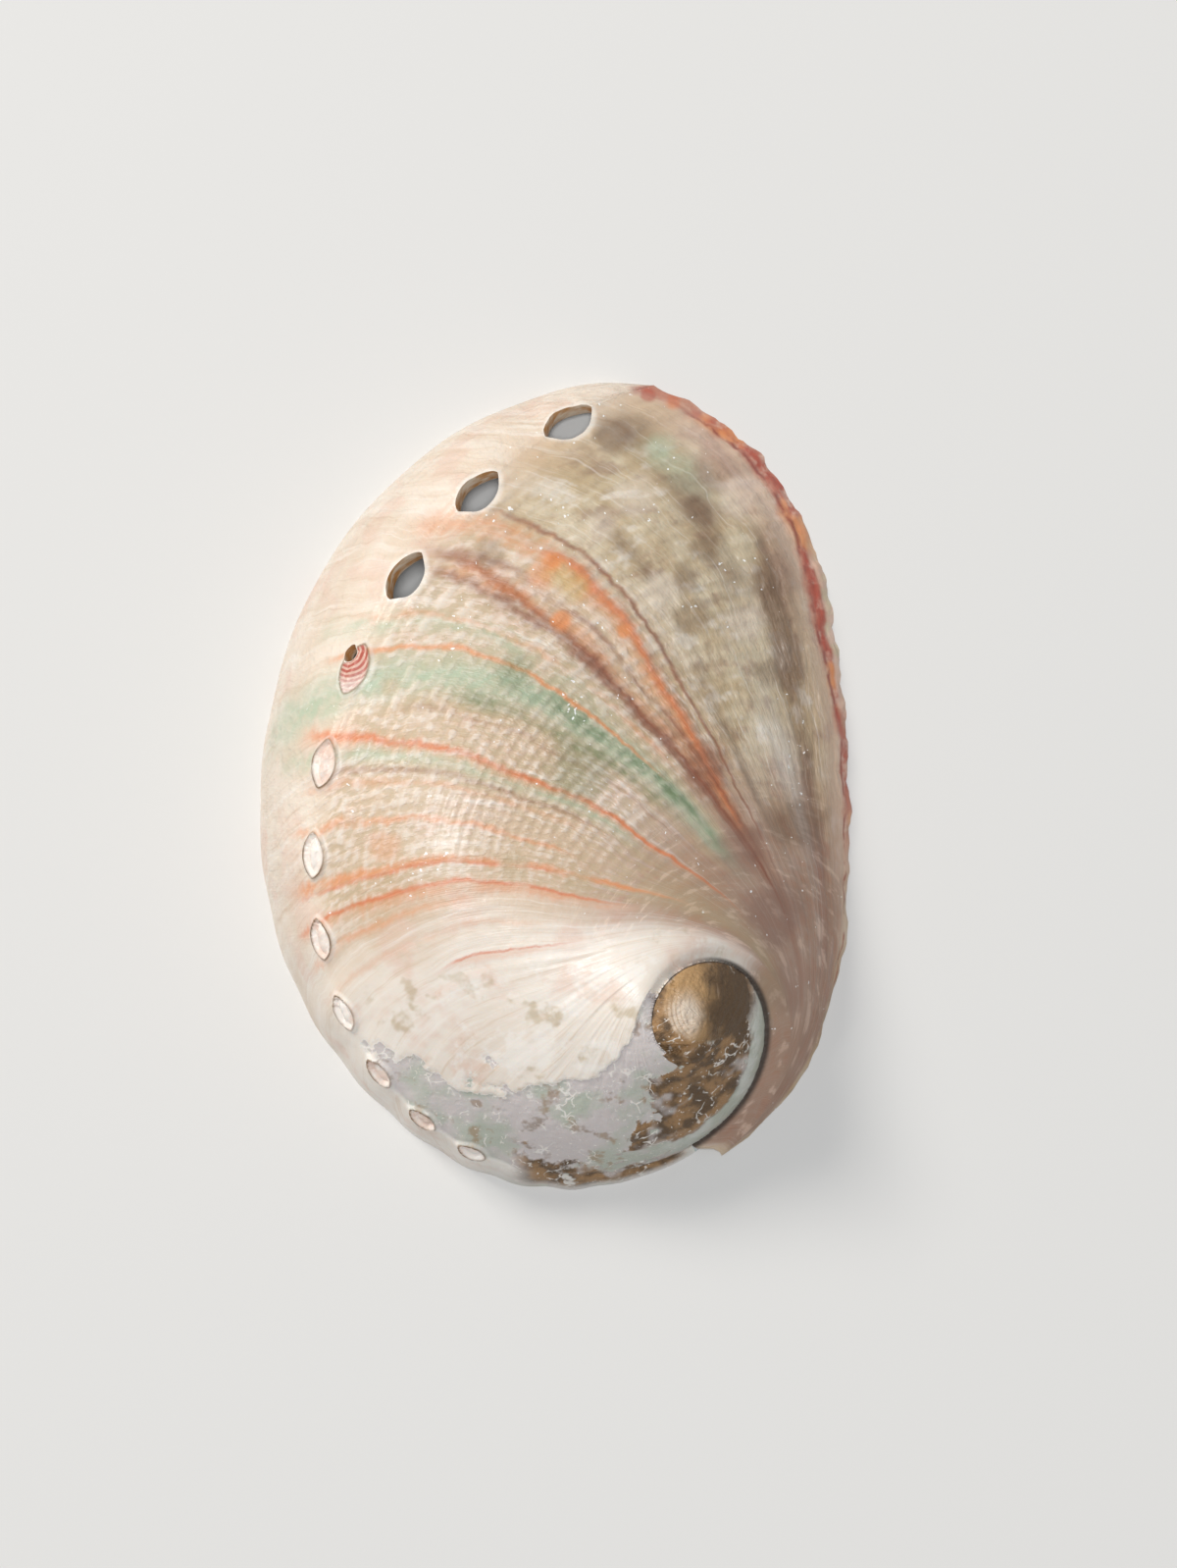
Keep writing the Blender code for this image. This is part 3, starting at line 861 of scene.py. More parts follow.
class Skin:
    """Collects sheets and the strips between them as faces of one mesh."""

    def __init__(self) -> None:
        """Start with no points and no faces."""
        self.points: list[np.ndarray] = []
        self.grown: list[np.ndarray] = []
        self.share: list[np.ndarray] = []
        self.inner: list[np.ndarray] = []
        self.faces: list[tuple[int, ...]] = []
        self.count = 0

    def add_points(self, sheet: Sheet) -> np.ndarray:
        """Take in a sheet's points and return their numbers, in the sheet's shape.

        Args:
            sheet: The sheet.

        Returns:
            The points' numbers.
        """
        shape = sheet.points.shape[:-1]
        numbers = self.count + np.arange(int(np.prod(shape)))
        self.count += len(numbers)
        self.points.append(sheet.points.reshape(-1, 3))
        self.grown.append(np.broadcast_to(sheet.grown, shape).ravel())
        self.share.append(np.broadcast_to(sheet.share, shape).ravel())
        self.inner.append(np.full(len(numbers), float(sheet.inside)))
        return numbers.reshape(shape)

    def add_grid(self, sheet: Sheet) -> np.ndarray:
        """Faces between the rows and columns of a sheet; returns the points' numbers.

        Args:
            sheet: The sheet.

        Returns:
            The points' numbers.
        """
        n = self.add_points(sheet)
        quads = np.stack((n[:-1, :-1], n[:-1, 1:], n[1:, 1:], n[1:, :-1]), axis=-1).reshape(-1, 4)
        self.faces.extend(map(tuple, quads.tolist()))
        return n

    def add_strip(self, first: np.ndarray, second: np.ndarray) -> None:
        """Triangles between two lines of points that may differ in number.

        Args:
            first: Numbers of one line's points.
            second: Numbers of the other's.
        """
        i = j = 0
        last_i, last_j = len(first) - 1, len(second) - 1
        while i < last_i or j < last_j:
            if j == last_j or (i < last_i and (i + 1) / last_i <= (j + 1) / last_j):
                self.faces.append((int(first[i]), int(first[i + 1]), int(second[j])))
                i += 1
            else:
                self.faces.append((int(first[i]), int(second[j + 1]), int(second[j])))
                j += 1

    def add_face(self, sheet: Sheet) -> None:
        """One face through a line of points."""
        self.faces.append(tuple(self.add_points(sheet).tolist()))

    def add_fan(self, ring: np.ndarray, rise: np.ndarray, grown: float, inside: bool) -> None:
        """Triangles from a ring of points to a point just off its middle.

        Args:
            ring: The ring's points.
            rise: How far the point is off the middle.
            grown: Growth of them all in degrees.
            inside: Whether they are on the lining.
        """
        points = np.vstack((ring, ring.mean(axis=0) + rise))
        n = self.add_points(Sheet(points, np.float64(grown), np.float64(0.5), inside))
        for a, b in zip(n[:-1], np.roll(n[:-1], -1)):
            self.faces.append((int(a), int(b), int(n[-1])))

    def mesh(self, name: str) -> bpy.types.Mesh:
        """The collected faces as a mesh, with growth and share as a UV map and as point values.

        Args:
            name: The mesh's name.

        Returns:
            The mesh.
        """
        made = bpy.data.meshes.new(name)
        made.from_pydata(np.vstack(self.points), [], self.faces)
        grown, share = np.concatenate(self.grown), np.concatenate(self.share)
        corner = np.empty(len(made.loops), dtype=np.int32)
        made.loops.foreach_get("vertex_index", corner)
        layer = made.uv_layers.new(name="growth")
        layer.data.foreach_set("uv", np.stack((grown[corner] / GROWTH_UNIT, share[corner]), axis=1).ravel())
        for label, values in (("grown", grown), ("share", share), ("inner", np.concatenate(self.inner))):
            write_attribute(made, label, values)
        return made


@dataclass
class ReliefSizes:
    """Sizes of the fine relief, in metres, as the node tree's inputs name them."""

    ridge_height: float = 0.00016
    cord_height: float = 0.00005
    lip_lump: float = 0.00050
    lip_ragged: float = 0.00055
    hole_mound: float = 0.00030
    ring_height: float = 0.00038
    plug_sink: float = 0.00030
    worn_depth: float = 0.00024
    patch_rough: float = 0.00022
    suture_depth: float = 0.00035


class ReliefTree:
    """Node tree that raises the fine relief on the outside of the shell."""

    def __init__(self, sizes: ReliefSizes, outside: bpy.types.Material, lining: bpy.types.Material) -> None:
        """Build the tree.

        Args:
            sizes: The relief's sizes.
            outside: Finish of the outside.
            lining: Finish of the inside.
        """
        self.sizes = {name.replace("_", " ").title(): value for name, value in vars(sizes).items()}
        self.tree = bpy.data.node_groups.new("growth_relief", "GeometryNodeTree")
        face = self.tree.interface
        face.new_socket("Geometry", in_out="INPUT", socket_type="NodeSocketGeometry")
        for name in self.sizes:
            face.new_socket(name, in_out="INPUT", socket_type="NodeSocketFloat")
        face.new_socket("Geometry", in_out="OUTPUT", socket_type="NodeSocketGeometry")
        self.graph = Graph(self.tree)
        start = self.tree.nodes.new("NodeGroupInput")
        self.size = {s.name: Wire(self.graph, s) for s in start.outputs}
        self.wire_up(outside, lining)

    def wire_up(self, outside: bpy.types.Material, lining: bpy.types.Material) -> None:
        """Offset each outer point along its normal, then hand out the two finishes.

        Args:
            outside: Finish of the outside.
            lining: Finish of the inside.
        """
        graph, size = self.graph, self.size
        place = graph.node("GeometryNodeInputPosition")
        normal = graph.node("GeometryNodeInputNormal")
        grown, share, inner, gap, seal = (
            read_attribute(graph, n) for n in ("grown", "share", "inner", "hole_gap", "hole_seal"))
        low = graph.parts(place)[2].rise(0.0, 0.0012)
        lift = self.growth_ridges(grown, share, place) + self.wear(grown, share, place)
        lift = (lift + self.hole_rims(gap, seal)) * low + self.lip(grown, share, place)
        outer = 1.0 - inner
        flat = graph.vectors("MULTIPLY", normal, (1.0, 1.0, 0.0))
        ragged = (graph.noise(place, 420.0, 3.0, 0.6) - 0.5) * size["Lip Ragged"] * 2.0
        ragged = ragged * grown.rise(4.5, 0.0) * share.rise(1.0, 0.9) * share.rise(0.0, 0.06)
        ragged = ragged * (1.0 - inner * 2.0)
        offset = graph.vectors("ADD", graph.scaled(normal, lift * outer * low),
                               graph.scaled(flat, ragged + lift * outer * (1.0 - low)))
        moved = graph.node("GeometryNodeSetPosition", None, {"Geometry": size["Geometry"], "Offset": offset})
        real = graph.node("GeometryNodeRealizeInstances", None, {"Geometry": moved})
        painted = graph.node("GeometryNodeSetMaterial", None, {"Geometry": real, "Material": outside})
        inner_face = graph.node("GeometryNodeInputNamedAttribute", {"data_type": "BOOLEAN"},
                                {"Name": "inner_face"}, "Attribute")
        painted = graph.node("GeometryNodeSetMaterial", None, {
            "Geometry": painted, "Selection": inner_face, "Material": lining})
        end = self.tree.nodes.new("NodeGroupOutput")
        self.tree.links.new(painted.socket, end.inputs[0])

    def growth_ridges(self, grown: Wire, share: Wire, place: Wire) -> Wire:
        """Ridges along former lips, crossed by low spiral cords.

        Args:
            grown: Growth in degrees.
            share: Share of the section.
            place: Position on the shell.

        Returns:
            The height to add.
        """
        graph, size = self.graph, self.size
        bent = grown + (graph.noise(place, 90.0) - 0.5) * 5.0
        lines = graph.noise(graph.vector(bent * 0.42, share * 2.4), 1.0, 4.0, 0.6) - 0.5
        young = 0.6 + grown.rise(60.0, 20.0)
        cords = (share * (TURN * CORD_COUNT)).sine() * graph.noise(place, 160.0) * grown.rise(95.0, 60.0)
        away = share.rise(0.02, 0.15)
        return (lines * size["Ridge Height"] * 3.0 * young + cords * size["Cord Height"] * 2.0) * away

    def wear(self, grown: Wire, share: Wire, place: Wire) -> Wire:
        """The step down to the worn layer, the rough brown patches and the groove of the seam.

        Args:
            grown: Growth in degrees.
            share: Share of the section.
            place: Position on the shell.

        Returns:
            The height to add.
        """
        graph, size = self.graph, self.size
        worn = worn_share(graph, grown, share, place)
        patch = patch_share(graph, grown, share, place)
        rough = graph.noise(place, 900.0, 3.0, 0.6) - 0.5
        step = -(worn.largest(grown.rise(200.0, 206.0)) * size["Worn Depth"])
        grain = patch * (rough * 2.0 + 0.6) * size["Patch Rough"]
        grain = grain + worn * (1.0 - patch) * rough * size["Patch Rough"] * 0.7
        groove = -(share.rise(0.03, 0.0) * size["Suture Depth"] * grown.rise(215.0, 200.0))
        return step * grown.rise(330.0, 290.0) + grain + groove

    def hole_rims(self, gap: Wire, seal: Wire) -> Wire:
        """Mounds round the open holes, and a ring and a sunk plug at each sealed one.

        Args:
            gap: Millimetres out from the oval edge of the nearest hole.
            seal: 0 where that hole is open, 1 where it is sealed.

        Returns:
            The height to add.
        """
        size = self.size
        mound = gap.rise(2.6, -0.2) * size["Hole Mound"] * (1.0 - seal)
        ring = gap.hump(0.0, 0.55) * size["Ring Height"] * seal
        plug = gap.rise(-0.15, -0.5) * (gap.rise(-1.7, -0.5) * 1.4 - 0.4) * size["Plug Sink"] * seal
        return mound + ring - plug

    def lip(self, grown: Wire, share: Wire, place: Wire) -> Wire:
        """Lumps of the red lip, strongest at the edge."""
        lumps = self.graph.noise(place, 520.0, 3.0, 0.55) - 0.42
        return lumps * self.size["Lip Lump"] * grown.rise(3.4, 0.4) * share.rise(1.0, 0.9) * 1.6


@dataclass(frozen=True)
class ColourSpot:
    """A soft patch of colour at a place seen from above, in millimetres."""

    x: float
    y: float
    reach: float
    strength: float
    colour: Colour


class Surface:
    """A material under way: its tree, where it is read, and the colour laid so far."""

    def __init__(self, name: str, colour: Colour) -> None:
        """Start a material with one colour all over.

        Args:
            name: The material's name.
            colour: The first colour.
        """
        self.material = bpy.data.materials.new(name)
        self.material.use_nodes = True
        self.graph = Graph(self.material.node_tree)
        self.place = self.graph.node("ShaderNodeTexCoord", None, None, "Object")
        growth = self.graph.node("ShaderNodeUVMap", {"uv_map": "growth"})
        turned, self.share, _ = self.graph.parts(growth)
        self.grown = turned * GROWTH_UNIT
        self.colour: Value = colour

    def lay(self, mask: Value, colour: Value) -> None:
        """Lay a colour over the ones before where a mask is 1."""
        self.colour = self.graph.mix(mask, self.colour, colour)

    def noise(self, *sizes: float) -> Wire:
        """Noise at the place on the shell; the sizes are those of Graph.noise."""
        return self.graph.noise(self.place, *sizes)

    def drawn_noise(self, along: Wire, across: Wire, *sizes: float) -> Wire:
        """Noise drawn out along or across the growth lines."""
        return self.graph.noise(self.graph.vector(along, across), 1.0, *sizes)

    def finish(self, inputs: dict[str, Value]) -> bpy.types.Material:
        """Feed the shader.

        Args:
            inputs: Values or wires for its sockets, by name, apart from the colour.

        Returns:
            The finished material.
        """
        shader = self.material.node_tree.nodes["Principled BSDF"]
        for name, value in {"Base Color": self.colour, **inputs}.items():
            self.graph.feed(shader.inputs[name], value)
        return self.material


@dataclass(frozen=True)
class OutsideFinish:
    """Polished outer layer: cream and olive ground, coloured growth bands, worn and rough places.

    The methods lay their colours on a surface in turn. Aged growth is growth with the slant that lines
    take down the side wall.
    """

    sand: Colour = tint(206, 180, 152)
    cream: Colour = tint(228, 214, 198)
    blush: Colour = tint(222, 190, 172)
    milk: Colour = tint(240, 234, 226)
    olive: Colour = tint(186, 166, 132)
    beige: Colour = tint(208, 194, 166)
    umber: Colour = tint(118, 92, 72)
    rosewood: Colour = tint(138, 104, 90)
    rose: Colour = tint(178, 142, 126)
    mint: Colour = tint(178, 190, 164)
    deep_green: Colour = tint(106, 124, 88)
    orange: Colour = tint(222, 142, 88)
    coral: Colour = tint(206, 108, 70)
    red: Colour = tint(176, 78, 62)
    wine: Colour = tint(138, 54, 46)
    red_brown: Colour = tint(140, 84, 62)
    straw: Colour = tint(200, 172, 112)
    lilac: Colour = tint(206, 197, 194)
    sage: Colour = tint(184, 188, 174)
    bark: Colour = tint(96, 74, 50)
    tan: Colour = tint(160, 124, 84)
    silver: Colour = tint(206, 207, 198)
    honey: Colour = tint(178, 142, 98)
    pearl: Colour = tint(238, 230, 222)
    ring: Colour = tint(128, 104, 80)
    # Painted shadow in the groove of the seam.
    dark: Colour = tint(38, 30, 24)
    # White of the painted glints, specks of highlight.
    glint: Colour = (0.93, 0.93, 0.92, 1.0)
    wall_slant: float = 27.0
    band_wobble: float = 4.0
    spot_ragged: float = 1.6
    end_fade: float = 0.11
    glint_cluster: tuple[float, float, float] = (0.0014, 0.0104, 0.0185)
    knob_centre: tuple[float, float] = (0.0189, -0.0268)
    # Centre of the painted highlight on the knob.
    knob_light: tuple[float, float] = (0.0159, -0.0285)
    arc_centre: tuple[float, float] = (0.0195, -0.0275)
    arc_step: float = 0.00055
    crescent_step: float = 0.62
    coat: float = 0.06
    coat_roughness: float = 0.10
    glow_depth: float = 0.0015
    glow_share: float = 0.12
    glow_tint: tuple[float, float, float] = (1.0, 0.6, 0.4)

    def lines(self) -> tuple[ColourBand, ...]:
        """The thin coloured growth lines, newest first.

        Returns:
            The lines.
        """
        band = ColourBand
        return (
            band(25.9, 29.0, 33.0, 0.69, 0.75, self.red_brown, 0.10, 0.99, 0.35),
            band(28.3, 31.8, 38.3, 1.38, 0.70, self.coral, 0.16, 0.90),
            band(28.6, 32.4, 38.8, 3.25, 0.50, self.orange, 0.14, 1.12),
            band(33.0, 36.6, 37.0, 1.12, 0.55, self.red_brown, 0.10, 1.0),
            band(33.6, 40.2, 40.0, 1.25, 0.85, self.red_brown, 0.05, 1.02, 0.25),
            band(35.9, 41.4, 41.4, 1.25, 0.65, self.red_brown, 0.10, 1.02),
            band(34.8, 38.8, 39.0, 2.00, 0.45, self.orange, 0.25, 0.99),
            band(42.8, 44.4, 44.0, 1.00, 0.35, self.orange, 0.25, 1.10),
            band(47.9, 48.3, 48.6, 0.75, 0.75, self.orange, 0.28, 1.12, 0.25),
            band(56.8, 58.6, 59.0, 0.88, 0.30, self.red_brown, 0.15, 0.90),
            band(60.2, 65.2, 66.3, 1.00, 0.80, self.coral, 0.06, 1.10, 0.45),
            band(60.4, 65.5, 66.6, 1.88, 0.45, self.orange, 0.06, 1.14),
            band(65.7, 69.4, 72.0, 1.00, 0.45, self.red_brown, 0.25, 1.1),
            band(67.6, 71.4, 74.0, 1.12, 0.30, self.orange, 0.30, 1.1),
            band(73.4, 78.3, 80.5, 1.12, 0.60, self.orange, 0.30, 1.14),
            band(81.7, 85.8, 84.2, 1.62, 0.75, self.orange, 0.08, 1.14),
            band(82.6, 86.2, 84.8, 0.62, 0.45, self.coral, 0.30, 1.12),
            band(86.8, 90.2, 91.2, 0.88, 0.80, self.coral, 0.15, 1.14),
            band(87.4, 91.0, 92.2, 2.50, 0.42, self.orange, 0.15, 1.14),
            band(92.3, 94.4, 96.0, 1.50, 0.45, self.orange, 0.50, 1.14),
            band(98.5, 100.5, 101.0, 1.38, 0.22, self.orange, 0.30, 1.14),
            band(107.5, 108.5, 107.0, 0.75, 0.75, self.coral, 0.22, 0.68),
            band(108.4, 109.6, 108.4, 1.62, 0.30, self.orange, 0.25, 0.66),
            band(111.0, 113.0, 112.0, 2.00, 0.22, self.orange, 0.45, 0.75))

    def broad_bands(self) -> tuple[ColourBand, ...]:
        """The soft bands that lie under the lines, newest first.

        Returns:
            The bands.
        """
        band = ColourBand
        return (
            band(8.6, 9.0, 9.0, 3.6, 0.50, self.mint, 0.72, 0.93),
            band(7.5, 7.5, 7.5, 3.2, 0.75, self.umber, 0.86, 0.99),
            band(20.5, 24.5, 29.0, 2.2, 0.45, self.umber, 0.15, 0.86, 0.9),
            band(27.0, 31.5, 36.0, 2.4, 0.55, self.rosewood, 0.10, 0.84, 0.8),
            band(33.0, 36.0, 38.0, 5.5, 0.55, self.sand, 0.05, 1.02),
            band(35.0, 40.5, 40.5, 3.4, 0.60, self.rosewood, 0.05, 0.90, 0.8),
            band(44.0, 45.5, 46.0, 3.0, 0.55, self.mint, 0.42, 1.20, 0.8),
            band(52.5, 51.0, 50.0, 6.0, 0.95, self.mint, 0.10, 1.30, 0.3),
            band(50.5, 50.5, 49.8, 3.4, 0.75, self.deep_green, 0.12, 0.66, 0.9),
            band(52.0, 47.5, 46.5, 2.6, 0.45, self.olive, 0.12, 0.94, 0.9),
            band(56.6, 56.0, 55.0, 3.0, 0.60, self.olive, 0.10, 0.90, 0.6),
            band(63.0, 67.2, 69.0, 2.6, 0.60, self.mint, 0.20, 1.20, 0.5),
            band(64.8, 69.0, 71.0, 1.8, 0.40, self.olive, 0.12, 0.96, 0.7),
            band(70.0, 74.0, 77.0, 3.6, 0.35, self.sand, 0.15, 0.96, 0.8),
            band(78.0, 82.5, 83.0, 4.2, 0.40, self.sand, 0.10, 1.15, 0.7),
            band(88.5, 92.0, 93.0, 3.0, 0.35, self.blush, 0.10, 0.80, 0.6),
            band(31.0, 36.0, 38.0, 6.0, 0.60, self.red_brown, 0.01, 0.46, 0.5),
            band(54.5, 55.0, 54.0, 2.6, 0.60, self.deep_green, 0.18, 0.80, 0.8),
            band(73.5, 76.5, 78.5, 2.8, 0.50, self.sand, 0.20, 0.96, 0.5),
            band(4.0, 4.5, 5.0, 2.6, 0.55, self.rosewood, 0.62, 0.95, 0.7))

    def spots(self) -> tuple[ColourSpot, ...]:
        """Single patches of colour that stand out from the bands; the umber ones on the right side are
        partly painted shade of its valleys and slopes.

        Returns:
            The stains.
        """
        spot = ColourSpot
        return (
            spot(0.3, 26.6, 2.6, 0.55, self.straw),
            spot(2.4, 25.0, 2.4, 0.50, self.straw),
            spot(-1.8, 26.2, 2.4, 0.50, self.orange),
            spot(-0.2, 28.0, 1.8, 0.85, self.orange),
            spot(0.6, 20.6, 1.6, 0.75, self.orange),
            spot(8.5, 19.4, 1.3, 0.80, self.orange),
            spot(-8.4, 28.6, 2.4, 0.35, self.umber),
            spot(-5.2, 14.0, 3.0, 0.45, self.deep_green),
            spot(-20.6, 12.2, 2.0, 0.60, self.olive),
            spot(2.8, -11.8, 2.2, 0.45, self.olive),
            spot(-5.0, -10.0, 2.2, 0.55, self.olive),
            spot(-5.4, -4.2, 2.8, 0.40, self.sand),
            spot(-21.2, -7.4, 2.6, 0.30, self.orange),
            # Umber ones on the right side: partly painted shade of its valleys and slopes.
            spot(7.6, 43.6, 3.0, 0.60, self.umber),
            spot(17.8, 34.2, 3.0, 0.55, self.umber),
            spot(18.8, 30.0, 2.8, 0.50, self.umber),
            spot(16.4, 25.6, 2.6, 0.50, self.umber),
            spot(20.0, 40.0, 4.0, 0.55, self.rosewood),
            spot(19.0, 2.0, 4.2, 0.50, self.red_brown),
            spot(23.2, -8.0, 4.6, 0.55, self.rosewood),
            spot(27.2, -15.6, 5.2, 0.55, self.rosewood),
            spot(28.4, -26.0, 5.0, 0.35, self.rosewood),
            spot(30.2, -5.0, 4.4, 0.50, self.umber),
            spot(3.0, 1.6, 5.6, 0.40, self.deep_green),
            spot(17.4, 21.4, 2.6, 0.40, self.umber),
            spot(27.2, 25.6, 4.0, 0.55, self.umber),
            spot(27.0, 14.6, 3.0, 0.50, self.umber),
            spot(23.7, 36.6, 3.6, 0.50, self.cream),
            spot(23.0, 30.0, 3.6, 0.55, self.beige),
            spot(23.7, 20.6, 4.0, 0.55, self.cream),
            spot(13.4, 42.4, 2.8, 0.55, self.mint),
            spot(9.8, 36.2, 3.4, 0.40, self.cream),
            spot(13.0, 24.0, 3.2, 0.40, self.cream),
            spot(5.8, 31.8, 2.8, 0.35, self.cream),
            spot(11.6, 49.0, 1.0, 0.60, self.red),
            spot(14.9, 48.2, 1.3, 0.90, self.orange))

    def material(self) -> bpy.types.Material:
        """Build the finish.

        Returns:
            The material.
        """
        on = Surface("shell_outside", self.sand)
        grown, share = on.grown, on.share
        gap, seal, along = (on.graph.node("ShaderNodeAttribute", {"attribute_name": name}, None, "Fac")
                            for name in ("hole_gap", "hole_seal", "hole_along"))
        aged = grown - (share - 1.0).largest(0.0) * self.wall_slant
        aged = aged + (on.noise(120.0, 3.0) - 0.5) * self.band_wobble
        weave = self.weave(on)
        self.ground(on, aged, weave)
        self.bands(on, aged, weave)
        worn = worn_share(on.graph, grown, share, on.place)
        patch = patch_share(on.graph, grown, share, on.place)
        self.old_parts(on, worn, patch)
        self.knob(on)
        self.lip(on)
        self.holes(on, gap, seal, along)
        # Dark line along the seam with the inner whorl: painted shadow in the groove there.
        seam = share.rise(0.008, 0.002) * grown.rise(175.0, 110.0)
        seam = seam.largest(share.rise(0.955, 0.985) * share.rise(1.02, 1.01) * grown.rise(222.0, 250.0))
        on.lay(seam * 0.88, self.dark)
        return on.finish({
            "Roughness": 0.40 + (on.noise(300.0, 3.0) - 0.5) * 0.24 + worn * 0.10 + patch * 0.12,
            "Normal": self.grain(on, worn, patch, weave),
            "Coat Weight": self.coat, "Coat Roughness": self.coat_roughness,
            "Subsurface Weight": self.glow_share, "Subsurface Radius": self.glow_tint,
            "Subsurface Scale": self.glow_depth})

    def weave(self, on: Surface) -> Wire:
        """Pale beads where growth ridges and spiral cords cross.

        Args:
            on: The surface.

        Returns:
            The beads, 0 to 1.
        """
        drift = (on.noise(80.0) - 0.5) * 0.03
        cords = ((on.share + drift) * (TURN * CORD_COUNT)).sine() * 0.5 + 0.5
        beads = on.drawn_noise(on.grown * 0.8, (on.share + drift) * 34.0, 2.0).rise(0.36, 0.64)
        return beads * (cords * 0.40 + 0.60) * on.share.rise(0.10, 0.34)

    def ground(self, on: Surface, aged: Wire, weave: Wire) -> None:
        """Sand and cream with growth streaks, then the newest part, the right side and the beads.

        Args:
            on: The surface.
            aged: Aged growth.
            weave: The beads.
        """
        share = on.share
        tone, cloud = on.noise(60.0, 3.0, 0.6), on.noise(135.0, 3.0, 0.6)
        streak = on.drawn_noise(aged * 0.55, share * 2.2, 4.0, 0.65)
        pale = tone.rise(0.38, 0.62) * 0.55 + aged.rise(90.0, 108.0) * 0.6 + share.rise(0.97, 1.06) * 0.6
        on.lay(pale.smallest(1.0), self.cream)
        on.lay(aged.rise(90.0, 112.0) * 0.45, self.milk)
        on.lay(cloud.rise(0.50, 0.66) * 0.55, self.blush)
        on.lay(streak.rise(0.50, 0.70) * 0.50, self.milk)
        on.lay(streak.rise(0.47, 0.32) * 0.40, self.sand)
        self.newest(on, aged, cloud)
        self.right_side(on, aged)
        fine = on.drawn_noise(aged * 1.9, share * 4.0, 3.0, 0.6)
        on.lay(fine.rise(0.56, 0.70) * 0.30, self.milk)
        on.lay(fine.rise(0.44, 0.30) * 0.22 * aged.rise(100.0, 85.0), self.tan)
        bead = aged.rise(22.0, 34.0) * aged.rise(98.0, 84.0) * share.rise(1.0, 0.94)
        on.lay(weave.rise(0.45, 0.85) * bead * 0.32, self.milk)
        near_spire = share.rise(0.40, 0.14) * aged.rise(84.0, 52.0)
        on.lay(weave.rise(0.36, 0.04) * bead * (0.55 - near_spire * 0.40), self.olive)
        on.lay(near_spire * 0.30, self.rose)

    def newest(self, on: Surface, aged: Wire, cloud: Wire) -> None:
        """Olive and brown blotches, painted shade in the valleys, and a painted highlight on a fold behind
        the lip.

        Args:
            on: The surface.
            aged: Aged growth.
            cloud: Broad noise.
        """
        share = on.share
        new = aged.rise(34.0, 24.0) * share.rise(1.02, 0.88)
        on.lay(new * 0.85, on.graph.mix(cloud.rise(0.42, 0.60), self.olive, self.beige))
        along = on.drawn_noise(aged * 0.16, share * 16.0, 3.0, 0.6)
        on.lay(along.rise(0.52, 0.68) * new * 0.50, self.rosewood)
        on.lay(along.rise(0.46, 0.34) * new * 0.45, self.milk)
        # Painted shade: umber laid in the valleys that run along former lips near the lip.
        valley_shade = aged.hump(GrowthCurve(8.0, 13.6, 20.0).centre(share), 4.2) * share.rise(0.52, 0.66)
        low = aged.hump(GrowthCurve(4.2, 7.4, 12.0).centre(share), 4.6) * share.rise(0.72, 0.64)
        low = low * share.rise(0.05, 0.18)
        painted_valley_shade = (valley_shade * 0.70 + low * 1.15) * (0.5 + cloud.rise(0.36, 0.60) * 0.6) * share.rise(1.0, 0.93)
        on.lay(painted_valley_shade.smallest(0.85), self.umber)
        # Painted highlight: a pale band along the fold behind the lip.
        light = share.hump(0.27, 0.20) * aged.hump(16.5, 6.5) * on.noise(90.0, 3.0).rise(0.36, 0.56)
        on.lay(light * 0.55, self.milk)

    def right_side(self, on: Surface, aged: Wire) -> None:
        """Reddish streaks that run round the right of the spire.

        Args:
            on: The surface.
            aged: Aged growth.
        """
        right = on.share.rise(0.36, 0.10) * aged.rise(118.0, 84.0) * aged.rise(0.5, 5.0)
        streaks = on.drawn_noise(aged * 0.10, on.share * 70.0, 3.0, 0.6)
        reddish = on.graph.mix(streaks.rise(0.46, 0.62), self.rosewood, self.red_brown)
        on.lay(right * 0.72, on.graph.mix(streaks.rise(0.46, 0.36) * 0.7, reddish, self.blush))

    def bands(self, on: Surface, aged: Wire, weave: Wire) -> None:
        """Broad bands, thin lines and single patches of colour, beaded where the cords cross them, then
        painted glints: white specks of highlight.

        Args:
            on: The surface.
            aged: Aged growth.
            weave: The beads.
        """
        graph, share = on.graph, on.share
        blot = on.noise(150.0, 3.0, 0.6)
        patchy = on.drawn_noise(share * 13.0, aged * 0.16, 3.0, 0.6).rise(0.36, 0.60)
        beaded = (1.15 - weave * 0.45) * (0.75 + blot * 0.5)
        for band in self.broad_bands():
            mask = self.across(aged, share, band) * beaded * (patchy * band.blotch + (1.0 - band.blotch))
            on.lay((mask * band.strength).smallest(0.95), band.colour)
        broken = on.drawn_noise(share * 9.0, aged * 0.30, 3.0, 0.6).rise(0.32, 0.58)
        uneven = on.drawn_noise(share * 60.0, aged * 0.2, 2.0) - 0.5
        for line in self.lines():
            mask = self.across(aged + uneven * (line.width * 1.2), share, line)
            on.lay(mask * (broken * line.blotch + (1.0 - line.blotch)) * line.strength, line.colour)
        flat = graph.vectors("MULTIPLY", on.place, (1.0, 1.0, 0.0))
        for spot in self.spots():
            offset = graph.vectors("SUBTRACT", flat, (spot.x * MM, spot.y * MM, 0.0))
            away = graph.length(offset) / (spot.reach * MM)
            on.lay((away + (blot - 0.5) * self.spot_ragged).rise(1.0, 0.35) * spot.strength, spot.colour)
